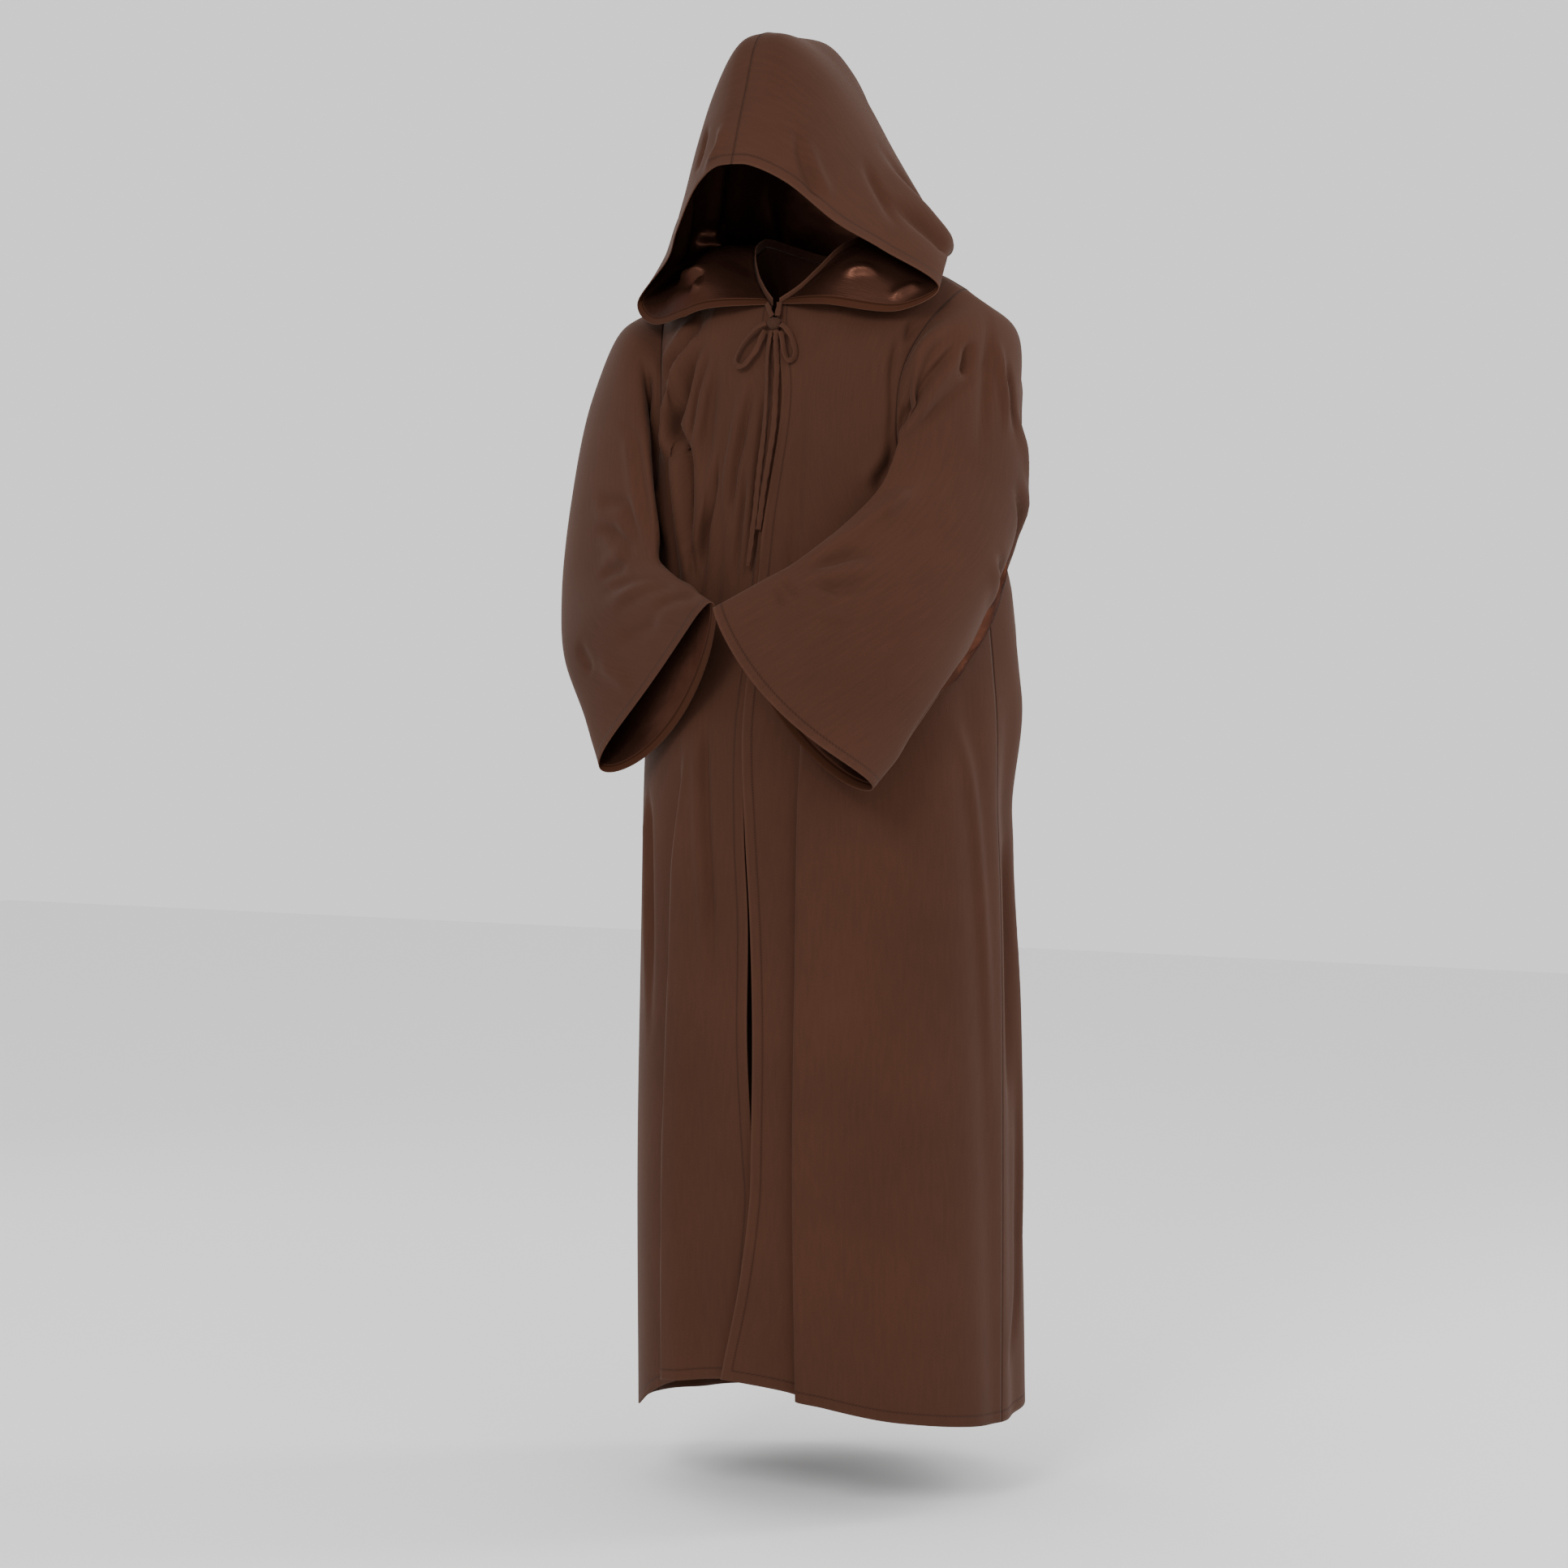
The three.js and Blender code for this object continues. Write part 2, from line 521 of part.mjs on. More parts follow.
// The first ring of a sleeve follows the armhole edge of the front and back pieces.
function sleeveGrid(frontEdge, backEdge, rows) {
  const armhole = [...frontEdge.slice(0, ARMHOLE_ROWS + 1), ...backEdge.slice(1, ARMHOLE_ROWS).reverse()];
  const rings = rows.map((row) => sleeveRing(row, armhole.length));
  return armhole.map((point, step) => {
    const line = new THREE.CatmullRomCurve3([point, ...rings.map((ring) => ring[step])], false, 'centripetal');
    return line.getPoints(SLEEVE_RINGS);
  });
}

function necklinePoint(turn) {
  const point = tablePoint(NECKLINE, 'turn', Math.abs(turn));
  point.x *= Math.sign(turn) || 1;
  return point;
}

// Way out from the neckline, level with the ground.
function necklineOut(turn) {
  const step = 0.02;
  const before = necklinePoint(Math.max(turn - step, 0));
  const along = necklinePoint(Math.min(turn + step, 2)).sub(before);
  return new THREE.Vector3(along.y, -along.x, 0).normalize();
}

function hoodGrid(side) {
  const keys = ['lip', 'fold', 'tip', 'hip', 'side', 'crown', 'ridge', 'seam'];
  const spread = side > 0 ? 1 : RIGHT_HOOD.spread;
  const drop = side > 0 ? 0 : RIGHT_HOOD.drop;
  const rails = keys.map((key) => new THREE.CatmullRomCurve3(HOOD.map((row) => {
    const sink = ['fold', 'tip'].includes(key) && row[key][0] > 0 ? drop : 0;
    return new THREE.Vector3(row[key][0] * spread, row[key][1], row[key][2] + sink);
  }), false, 'centripetal'));
  const grid = [];
  for (let rib = 0; rib <= HOOD_RIBS; rib += 1) {
    const share = rib / HOOD_RIBS;
    const neck = necklinePoint(2 * share).addScaledVector(necklineOut(2 * share), HOOD_SEAM.outward);
    neck.z += HOOD_SEAM.above;
    const curve = new THREE.CatmullRomCurve3(
      [neck, ...rails.map((rail) => rail.getPoint(share))], false, 'centripetal');
    const column = curve.getPoints(HOOD_STEPS);
    column.forEach((point) => {
      point.x = rib === HOOD_RIBS || point.x < 0.01 ? 0 : point.x * side;
    });
    grid.push(column);
  }
  return grid;
}

// Places along the neckline where the columns of the front and back pieces start.
function necklineTurns(side) {
  const front = frontShares(side).filter((share) => share <= NECK_SHARE).map((share) => share / NECK_SHARE);
  const back = Array.from({ length: BACK_NECK_COLUMNS }, (_, column) => 1 + (column + 1) / BACK_NECK_COLUMNS);
  return [...front, ...back];
}

// The narrow band stands up inside the neckline, from one front edge round to the other.
function bandGrid() {
  const bandColumn = (turn, side) => {
    const base = necklinePoint(turn).addScaledVector(necklineOut(turn), -BAND_SEAM.inward);
    if (turn === 2) base.x = 0;
    return [BAND_SEAM.above, BAND_HEIGHT].map(
      (rise) => new THREE.Vector3(base.x * side, base.y, base.z + rise));
  };
  const left = necklineTurns(1).map((turn) => bandColumn(turn, 1));
  const right = necklineTurns(-1).map((turn) => bandColumn(turn, -1));
  return [...left, ...right.reverse().slice(1)];
}

function tieGeometry(route) {
  const points = route.map((place) => new THREE.Vector3(...place));
  const path = new THREE.CatmullRomCurve3(points, false, 'centripetal');
  const section = new THREE.Shape();
  const sides = 8;
  for (let corner = 0; corner < sides; corner += 1) {
    const turn = corner / sides * 2 * Math.PI;
    const x = Math.cos(turn) * TIE_WIDTH / 2;
    const y = Math.sin(turn) * TIE_WIDTH / 2;
    if (corner === 0) section.moveTo(x, y);
    else section.lineTo(x, y);
  }
  section.closePath();
  const steps = Math.round(path.getLength() / (2.2 * TIE_WIDTH));
  return new THREE.ExtrudeGeometry(section, { steps, extrudePath: path, curveSegments: 1 });
}

function knotGeometry() {
  const geometry = new THREE.SphereGeometry(0.5, 16, 10);
  geometry.rotateX(Math.PI / 2);
  geometry.scale(KNOT.wide, KNOT.deep, KNOT.high);
  geometry.translate(KNOT.x, KNOT.y, KNOT.z);
  return geometry;
}

function addMesh(group, name, geometry, look) {
  const mesh = new THREE.Mesh(geometry, new THREE.MeshStandardMaterial(look));
  mesh.name = name;
  group.add(mesh);
}

const frontLeft = frontGrid(1);
const frontRight = frontGrid(-1);
const back = backGrid();
const pieces = [
  makePiece('front_left', frontLeft, { flip: false }),
  makePiece('front_right', frontRight, { flip: true }),
  makePiece('back_panel', back, { flip: false }),
  makePiece('sleeve_left', sleeveGrid(frontLeft.at(-1), back[0], LEFT_SLEEVE), { flip: true, closed: true }),
  makePiece('sleeve_right', sleeveGrid(frontRight.at(-1), back.at(-1), RIGHT_SLEEVE),
    { flip: false, closed: true }),
  makePiece('hood_left', hoodGrid(1), { flip: true }),
  makePiece('hood_right', hoodGrid(-1), { flip: false }),
  makePiece('neck_band', bandGrid(), { flip: true }),
];

const garment = new THREE.Group();
for (const piece of pieces) addMesh(garment, piece.name, wallGeometry(piece), CLOTH);
addMesh(garment, 'tie_knot', knotGeometry(), CLOTH);
addMesh(garment, 'tie_root_left', tieGeometry(ROOT_LEFT), CLOTH);
addMesh(garment, 'tie_root_right', tieGeometry(ROOT_RIGHT), CLOTH);
addMesh(garment, 'tie_loop_left', tieGeometry(LOOP_LEFT), CLOTH);
addMesh(garment, 'tie_loop_right', tieGeometry(LOOP_RIGHT), CLOTH);
addMesh(garment, 'tie_end_left', tieGeometry(END_LEFT), CLOTH);
addMesh(garment, 'tie_end_right', tieGeometry(END_RIGHT), CLOTH);

export default garment;
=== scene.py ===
# %% [markdown]
# A hooded robe. It is a generic traditional garment: two fronts, a back, two bell sleeves, a hood in
# two halves, a narrow neck band and a tie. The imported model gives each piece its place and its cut.
# Here each stiff stand-in is replaced by thin cloth that follows the same pattern tables, with
# folds, hems, stitching and weave. The pattern tables are in millimetres. The tie's routes, the
# flat sizes and every mesh are in metres.

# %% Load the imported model
import math

import bpy
import numpy as np
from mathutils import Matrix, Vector
from mathutils.bvhtree import BVHTree


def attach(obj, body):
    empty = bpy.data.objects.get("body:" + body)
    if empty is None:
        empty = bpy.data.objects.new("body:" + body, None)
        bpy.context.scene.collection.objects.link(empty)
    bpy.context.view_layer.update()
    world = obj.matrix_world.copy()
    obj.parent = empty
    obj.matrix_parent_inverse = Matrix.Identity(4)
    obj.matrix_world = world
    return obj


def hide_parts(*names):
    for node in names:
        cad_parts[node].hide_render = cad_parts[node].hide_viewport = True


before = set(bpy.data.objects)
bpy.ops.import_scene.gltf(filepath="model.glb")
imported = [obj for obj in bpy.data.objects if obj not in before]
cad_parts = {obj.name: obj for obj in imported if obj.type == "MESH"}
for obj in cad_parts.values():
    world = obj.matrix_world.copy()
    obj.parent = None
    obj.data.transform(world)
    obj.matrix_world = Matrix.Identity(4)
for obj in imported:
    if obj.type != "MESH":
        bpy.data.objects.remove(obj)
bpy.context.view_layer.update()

MM = 0.001
print("nodes:", sorted(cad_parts))

# %% [markdown]
# The camera stands at chest height, a little to the robe's left, with a long lens as a studio
# portrait has. Its place was worked out from the hem's curve and the shoulders' slope.

# %% Camera
CAMERA_PLACE = Vector((2.3074, -4.4360, -0.350))
CAMERA_TARGET = Vector((-0.0400, -0.0213, -0.5998))
camera_data = bpy.data.cameras.new("portrait_camera")
camera_data.sensor_width = 36
camera_data.lens = 90.6
camera = bpy.data.objects.new("portrait_camera", camera_data)
bpy.context.scene.collection.objects.link(camera)
camera.location = CAMERA_PLACE
camera.rotation_euler = (CAMERA_TARGET - CAMERA_PLACE).to_track_quat("-Z", "Y").to_euler()
bpy.context.scene.camera = camera
print("camera stands", round((CAMERA_TARGET - CAMERA_PLACE).length, 2), "m away")

# %% [markdown]
# The tie is a strip of the same cloth, folded to about 7 mm and tied in a bow. Each loop and end is
# a limp cord on its own line of points. A strip is flat, so at each point it has a way that it
# faces. The points are joined by a centripetal Catmull-Rom curve, which passes through every point
# and makes no small loops where they are close.


# %% Smooth line through points
def blend(t, start, end, leaving, arriving):
    """A cubic from start to end, with the slopes at which it leaves and arrives."""
    return (start * (1 + 2 * t) * (1 - t) ** 2 + leaving * t * (1 - t) ** 2
            + end * t * t * (3 - 2 * t) - arriving * t * t * (1 - t))


def spline(points, shares):
    """Places along a smooth line through points[0], points[1], ... at shares from 0 to 1."""
    points = np.asarray(points, float)
    first = 2 * points[:1] - points[1:2]
    last = 2 * points[-1:] - points[-2:-1]
    padded = np.concatenate([first, points, last])
    place = np.clip(np.asarray(shares, float), 0, 1) * (len(points) - 1)
    span = np.minimum(place.astype(int), len(points) - 2)
    t = (place - span).reshape((-1,) + (1,) * (points.ndim - 1))
    a, b, c, d = (padded[span + k] for k in range(4))

    def gap(p, q):
        return np.maximum(np.linalg.norm(q - p, axis=-1, keepdims=True), 1e-9) ** 0.5

    ab, bc, cd = gap(a, b), gap(b, c), gap(c, d)
    leaving = ((b - a) / ab - (c - a) / (ab + bc) + (c - b) / bc) * bc
    arriving = ((c - b) / bc - (d - b) / (bc + cd) + (d - c) / cd) * bc
    return blend(t, b, c, leaving, arriving)


def path_length(points):
    return float(np.linalg.norm(np.diff(points, axis=0), axis=1).sum())


def route_length(route):
    return path_length(spline(route, np.linspace(0, 1, 200)))


corners_length = route_length([(0, 0), (1, 0), (1, 1)])
print("a smooth line through three corners of a square is", round(corners_length, 2), "long")

# %% Routes of the tie, in metres
TIE_ROUTES = {
    "tie_root_left": [
        (0.009, -0.125, 0), (0.0102, -0.1287, -0.0057), (0.0113, -0.1331, -0.0114),
        (0.0125, -0.1374, -0.0173)],
    "tie_root_right": [
        (-0.0095, -0.1244, -0.001), (-0.0046, -0.1282, -0.0064), (0.0001, -0.133, -0.0119),
        (0.0053, -0.1378, -0.0174)],
    "tie_loop_right": [
        (-0.0012, -0.1406, -0.026), (-0.009, -0.143, -0.029), (-0.02, -0.145, -0.038),
        (-0.031, -0.146, -0.05), (-0.038, -0.147, -0.062), (-0.041, -0.148, -0.071),
        (-0.037, -0.149, -0.078), (-0.029, -0.15, -0.078), (-0.02, -0.15, -0.07),
        (-0.011, -0.149, -0.059), (-0.006, -0.147, -0.047), (-0.002, -0.143, -0.035)],
    "tie_loop_left": [
        (0.019, -0.1406, -0.028), (0.027, -0.143, -0.033), (0.036, -0.145, -0.044),
        (0.041, -0.147, -0.055), (0.043, -0.148, -0.065), (0.04, -0.149, -0.072),
        (0.034, -0.15, -0.072), (0.029, -0.15, -0.063), (0.026, -0.149, -0.05),
        (0.021, -0.144, -0.037)],
    "tie_end_right": [
        (0.0054, -0.141, -0.0353), (0.005, -0.144, -0.046), (0.004, -0.1465, -0.06),
        (0.004, -0.149, -0.08), (0.005, -0.1515, -0.105), (0.005, -0.154, -0.13),
        (0.004, -0.156, -0.155), (0.002, -0.158, -0.18), (-0.001, -0.159, -0.205),
        (-0.003, -0.161, -0.23), (-0.005, -0.162, -0.255), (-0.008, -0.1635, -0.28),
        (-0.011, -0.1645, -0.305), (-0.014, -0.165, -0.325)],
    "tie_end_left": [
        (0.0124, -0.141, -0.0349), (0.014, -0.144, -0.046), (0.016, -0.1465, -0.06),
        (0.018, -0.149, -0.08), (0.018, -0.1515, -0.105), (0.018, -0.154, -0.13),
        (0.017, -0.156, -0.155), (0.014, -0.158, -0.18), (0.01, -0.159, -0.205),
        (0.006, -0.161, -0.23), (0.003, -0.162, -0.255), (0, -0.1635, -0.28)],
}
TIE_WIDTH = 0.0075
TIE_THICKNESS = 0.0022
for tie_name, tie_route in TIE_ROUTES.items():
    print(tie_name, "is", round(route_length(tie_route), 3), "m long")

# %% [markdown]
# Every piece of cloth starts as a grid: columns run along the cut's width and rows down its length.
# One helper turns a grid into a mesh and gives it a UV map in metres, so that the weave is the same
# size everywhere, and "hem" and "seam" attributes that hold the distance to the finished edges and
# to the seams.


# %% Mesh from a grid of points
def grid_mesh(name, points, closed=False, hem=None, seam=None, outward_left=True):
    """A sheet mesh from points[column, row], in metres. closed joins the last column to the first."""
    columns, rows = points.shape[:2]
    spans = columns if closed else columns - 1
    across = np.linalg.norm(np.diff(points, axis=0, append=points[:1]), axis=2).mean(1)
    down = np.linalg.norm(np.diff(points, axis=1), axis=2).mean(0)
    u = np.concatenate([[0], np.cumsum(across)])
    v = np.concatenate([[0], -np.cumsum(down)])
    i, j = (a.ravel() for a in np.meshgrid(np.arange(spans), np.arange(rows - 1), indexing="ij"))
    corners = [(i, j), (i + 1, j), (i + 1, j + 1), (i, j + 1)]
    if outward_left:
        corners.reverse()
    faces = np.stack([(a % columns) * rows + b for a, b in corners], 1)
    mesh = bpy.data.meshes.new(name)
    mesh.vertices.add(columns * rows)
    mesh.vertices.foreach_set("co", points.reshape(-1).astype(np.float32))
    mesh.loops.add(faces.size)
    mesh.loops.foreach_set("vertex_index", faces.reshape(-1).astype(np.int32))
    mesh.polygons.add(len(faces))
    mesh.polygons.foreach_set("loop_start", np.arange(0, faces.size, 4, dtype=np.int32))
    mesh.update(calc_edges=True)
    places = np.stack([np.stack([u[a], v[b]], 1) for a, b in corners], 1)
    layer = mesh.uv_layers.new(name="cloth")
    layer.data.foreach_set("uv", places.reshape(-1).astype(np.float32))
    for label, distance in (("hem", hem), ("seam", seam)):
        values = np.ones((columns, rows)) if distance is None else distance
        edge = mesh.attributes.new(label, "FLOAT", "POINT")
        edge.data.foreach_set("value", values.reshape(-1).astype(np.float32))
    mesh.polygons.foreach_set("use_smooth", np.ones(len(faces), bool))
    piece = bpy.data.objects.new(name, mesh)
    bpy.context.scene.collection.objects.link(piece)
    return piece


def grid_normals(points, closed=False, outward_left=True):
    """The way out of the cloth at each point of a grid."""
    if closed:
        across = np.roll(points, -1, 0) - np.roll(points, 1, 0)
    else:
        across = np.gradient(points, axis=0)
    normal = np.cross(across, np.gradient(points, axis=1))
    if outward_left:
        normal = -normal
    return normal / np.maximum(np.linalg.norm(normal, axis=2, keepdims=True), 1e-12)


flat_sheet = np.array([[(x, 0, -z) for z in range(3)] for x in range(3)], float)
print("a flat sheet that hangs in front faces along", grid_normals(flat_sheet)[0, 0].tolist())

# %% [markdown]
# The strip of the tie is a small flat section with round edges, carried along the route and turned
# to face where the folded cloth faces.

# %% Folded strips of the tie
STRIP_FACING = {
    "tie_root_left": [(0.35, -0.9, 0.2), (0.3, -0.9, 0.3)],
    "tie_root_right": [(-0.2, -0.95, 0.2), (-0.1, -0.95, 0.3)],
    "tie_loop_right": [(0.3, -0.8, 0.6), (-0.7, -0.5, 0.2), (-0.3, -0.9, 0.1), (0.7, -0.6, -0.3)],
    "tie_loop_left": [(0.1, -0.9, 0.5), (0.8, -0.5, 0.2), (0.9, -0.3, -0.2), (0.6, -0.7, -0.4)],
    "tie_end_right": [(-0.3, -0.95, 0), (-0.6, -0.8, 0), (0.2, -1, 0), (-0.2, -1, 0)],
    "tie_end_left": [(0.2, -0.95, 0), (0.7, -0.7, 0), (0.1, -1, 0), (0.4, -0.9, 0)],
}
STEPS_PER_METRE = 900
FEWEST_STEPS = 12
STRIP_CORNERS = 12
STRIP_ROUNDNESS = 0.6
PINCH_DEPTH = 0.16
PINCH_TURN = 190  # radians a metre, which makes about 60 pinches


def strip(name):
    """A folded strip along its route, a little narrower and thicker where it is pinched."""
    route = TIE_ROUTES[name]
    length = route_length(route)
    steps = max(int(length * STEPS_PER_METRE), FEWEST_STEPS)
    shares = np.linspace(0, 1, steps)
    path = spline(route, shares)
    along = np.gradient(path, axis=0)
    along /= np.linalg.norm(along, axis=1, keepdims=True)
    facing = spline(STRIP_FACING[name], shares)
    facing -= along * (facing * along).sum(1, keepdims=True)
    facing /= np.linalg.norm(facing, axis=1, keepdims=True)
    side = np.cross(along, facing)
    turn = np.arange(STRIP_CORNERS) / STRIP_CORNERS * 2 * np.pi
    wide = np.sign(np.cos(turn)) * np.abs(np.cos(turn)) ** STRIP_ROUNDNESS * TIE_WIDTH / 2
    deep = np.sign(np.sin(turn)) * np.abs(np.sin(turn)) ** STRIP_ROUNDNESS * TIE_THICKNESS / 2
    pinch = 1 - PINCH_DEPTH * np.sin(shares * length * PINCH_TURN + len(name)) ** 2
    rings = (path[None] + side[None] * (wide[:, None] * pinch)[..., None]
             + facing[None] * (deep[:, None] / pinch)[..., None])
    piece = grid_mesh(name + "_cloth", rings, closed=True, outward_left=False)
    bpy.context.view_layer.objects.active = piece
    bpy.ops.object.select_all(action="DESELECT")
    piece.select_set(True)
    bpy.ops.object.mode_set(mode="EDIT")
    bpy.ops.mesh.select_all(action="SELECT")
    bpy.ops.mesh.fill_holes(sides=STRIP_CORNERS)
    bpy.ops.mesh.normals_make_consistent(inside=False)
    bpy.ops.object.mode_set(mode="OBJECT")
    return piece, path


tie_pieces = {tie_name: strip(tie_name) for tie_name in TIE_ROUTES}
print("tie strips:", len(tie_pieces))

# %% [markdown]
# The body's cut is kept in tables, as a pattern maker keeps measures by height. The plain section at
# each height is a rounded oval: half its width, its front, its back, where its sides lie and how
# square it is. A table is read between its rows by a cubic, so that nothing has a corner.

# %% Pattern tables of the body, in millimetres
# The body: level, half its width, its front, its back, the middle of its sides, how square it is.
HALF, FRONT, BACK, MIDDLE, SQUARE = range(1, 6)
BODY = [
    (30, 214, -132, 92, 0, 2.6), (-100, 215, -146, 112, 0, 2.6), (-200, 215, -153, 120, 0, 2.6),
    (-310, 218, -158, 134, 4, 2.4), (-450, 228, -166, 172, 10, 2.2),
    (-600, 240, -177, 215, 16, 2.05), (-800, 246, -186, 240, 20, 2), (-1080, 249, -198, 268, 20, 2),
    (-1400, 250, -192, 292, 20, 2)]
# The hem: angle from the middle of the front in degrees, level.
HEM_LEVEL = 1
HEM = [
    (-180, -1408), (-135, -1418), (-90, -1404), (-60, -1398), (-40, -1362), (-31, -1346),
    (0, -1331), (20, -1352), (45, -1376), (90, -1396), (135, -1392), (180, -1408)]
# The front edges: level, where the left and the right edge lie across the robe, how far the right
# front is tucked under the left, and the share of the front over which the edge is steered.
LEFT_EDGE, RIGHT_EDGE, TUCK, STEERED = range(1, 5)
EDGES = [
    (0, 5, -5, 0, 0.3), (-60, 17, 12, 3, 0.3), (-110, 24, 28, 5, 0.3), (-160, 21, 25, 5, 0.3),
    (-240, 9, 13, 5, 0.3), (-310, 1, 5, 5, 0.125), (-420, -10, -6, 5, 0.125),
    (-530, -19, -18, 4, 0.125), (-660, -10, -13, 3, 0.125), (-760, -2, -6, 3, 0.125),
    (-910, 5, -5, 6, 0.125), (-1050, 6, 4, 9, 0.125), (-1110, 4, 7, 11, 0.125),
    (-1215, -11, -3, 12, 0.125), (-1330, -37, -6, 12, 0.125), (-1400, -50, -6, 12, 0.125)]
# The armhole: level, the angle where the front ends, the angle where the back begins.
FRONT_ENDS, BACK_BEGINS = 1, 2
ARMHOLE = [
    (20, 62, 118), (-30, 52, 124), (-100, 46, 130), (-180, 46, 130), (-240, 54, 124),
    (-280, 70, 109), (-312, 90, 90)]
# The neckline: turn from 0 at the middle front to 2 at the middle back, then its place.
NECKLINE = [
    (0, 5, -118, -5), (0.3, 25, -103, 12), (0.6, 43, -87, 34), (0.85, 62, -56, 64), (1, 74, -5, 79),
    (1.35, 63, 44, 73), (1.7, 32, 74, 62), (2, 0, 84, 58)]
# The shoulder seam: share of its length from the neck, then its place.
SHOULDER = [
    (0, 74, -5, 79), (0.25, 107, -6, 57), (0.5, 142, -6, 45), (0.75, 176, -6, 34), (1, 207, -6, 17)]
UNDERARM_LEVEL = -312
NECK_SHARE = 4 / 11
BACK_NECK_SHARE = 0.3


def read_table(table, place, column):
    """A column of a table at places between its rows."""
    rows = np.array(table, float)
    keys, values = rows[:, 0], rows[:, column]
    place = np.asarray(place, float)
    if keys[0] > keys[-1]:
        keys, place = -keys, -place
    slopes = np.empty(len(keys))
    slopes[1:-1] = (values[2:] - values[:-2]) / (keys[2:] - keys[:-2])
    slopes[0] = (values[1] - values[0]) / (keys[1] - keys[0])
    slopes[-1] = (values[-1] - values[-2]) / (keys[-1] - keys[-2])
    i = np.clip(np.searchsorted(keys, place, side="right") - 1, 0, len(keys) - 2)
    span = keys[i + 1] - keys[i]
    t = np.clip((place - keys[i]) / span, 0, 1)
    return blend(t, values[i], values[i + 1], slopes[i] * span, slopes[i + 1] * span)


def table_points(table, place):
    return np.stack([read_table(table, place, column) for column in (1, 2, 3)], -1)


def smooth_step(value):
    t = np.clip(value, 0, 1)
    return t * t * (3 - 2 * t)


print("front length at the middle:", read_table(HEM, 0, HEM_LEVEL) - NECKLINE[0][3], "mm")

# %% [markdown]
# The big folds belong to the cut's fall, so they move the section itself. A soft fold stands out or
# sinks in by a smooth bump. A deep fold is S-shaped: its proud side laps over the side behind it.

# %% Large folds of the body
# Soft: top and bottom level, angle at the top and at the bottom, width in degrees, depth.
SOFT_FOLDS = [
    (0, -420, -14, -24, 3.2, 9), (-40, -420, -8, -16, 2.6, 5), (-20, -420, -36, -33, 3, 7),
    (-60, -520, 8, 9, 2.4, 5), (-200, -610, 114, 112, 22, -26), (-420, -1500, 74, 86, 7, 6),
    (-420, -1500, 98, 102, 7, 8), (-180, -1500, 138, 140, 8, 13), (-60, -1500, 166, 170, 7, 13),
    (-240, -1500, 200, 197, 8, 10), (-140, -1500, 224, 227, 8, 13), (-560, -1500, 250, 252, 7, 11)]
SOFT_FADE = 160
SOFT_REST = 0.2
# Deep: top level, angle at the top and at the bottom, height, lap, and how far its side runs out.
DEEP_FOLDS = [(-430, 14.5, 15.5, 17, 9, 100), (-520, -27, -31, 22, 11, 75)]
DEEP_FADE = 190
DEEP_LENGTH = 900
# Across a deep fold the lengths are counted in steps.
FOLD_STEP = 7
FOLD_RADIUS = 225
FOLD_EDGE = 1.2
FOLD_HOLLOW = 1.4
FOLD_WIDTH = 1.6
STEEP_SIDE = 1.6
HOLLOW_DEPTH = 0.45
HOLLOW_LAP = 0.7


def large_folds(angle, level):
    """How far the cloth moves out of the plain section and along it. Angles are degrees."""
    outward, along = np.zeros_like(angle), np.zeros_like(angle)
    turn = np.where(angle < -90, angle + 360, angle)
    for top, bottom, angle_top, angle_bottom, width, depth in SOFT_FOLDS:
        share = np.clip((top - level) / (top - bottom), 0, 1)
        middle = angle_top + (angle_bottom - angle_top) * share
        strength = (smooth_step((top - level) / SOFT_FADE)
                    * smooth_step((level - bottom) / SOFT_FADE + SOFT_REST))
        outward -= depth * strength * np.exp(-(((turn - middle) / width) ** 2))
    for top, angle_top, angle_bottom, height, lap, run in DEEP_FOLDS:
        middle = angle_top + (angle_bottom - angle_top) * np.clip((top - level) / DEEP_LENGTH, 0, 1)
        strength = smooth_step((top - level) / DEEP_FADE)
        away = np.radians(turn - middle) * FOLD_RADIUS / FOLD_STEP
        settle = run / FOLD_STEP
        spread = np.exp(-((np.where(away > 0, 1, STEEP_SIDE) * away / settle) ** 2))
        rise = smooth_step((away + FOLD_EDGE) / (2 * FOLD_EDGE)) - HOLLOW_DEPTH
        outward += strength * height * rise * spread
        along -= strength * lap * (np.exp(-(((away - FOLD_EDGE) / FOLD_WIDTH) ** 2))
                                   - HOLLOW_LAP * np.exp(-(((away + FOLD_HOLLOW) / FOLD_WIDTH) ** 2)))
    return outward, along


def body_points(top, angle, level, fall, roundness, tuck):
    """Points of the body below its top edge, at angles round it and levels down it."""
    half, front, back, middle, square = (
        read_table(BODY, level, column) for column in (HALF, FRONT, BACK, MIDDLE, SQUARE))
    sine, cosine = np.sin(np.radians(angle)), np.cos(np.radians(angle))
    depth = np.where(cosine > 0, middle - front, back - middle)
    x = half * np.sign(sine) * np.abs(sine) ** (2 / square)
    y = middle - depth * np.sign(cosine) * np.abs(cosine) ** (2 / square)
    out = np.stack([sine / half, -cosine / depth], -1)
    out /= np.linalg.norm(out, axis=-1, keepdims=True)
    outward, along = large_folds(angle, level)
    outward = outward - tuck
    x = x + out[..., 0] * outward - out[..., 1] * along
    y = y + out[..., 1] * outward + out[..., 0] * along
    down = np.clip((top[..., 2] - level) / fall, 0, 1)
    spread = (1 - (1 - down) ** roundness) ** (1 / roundness)
    x = top[..., 0] + (x - top[..., 0]) * spread
    y = top[..., 1] + (y - top[..., 1]) * spread
    return np.stack([x, y, level], -1)


print("large folds:", len(SOFT_FOLDS), "soft and", len(DEEP_FOLDS), "deep")

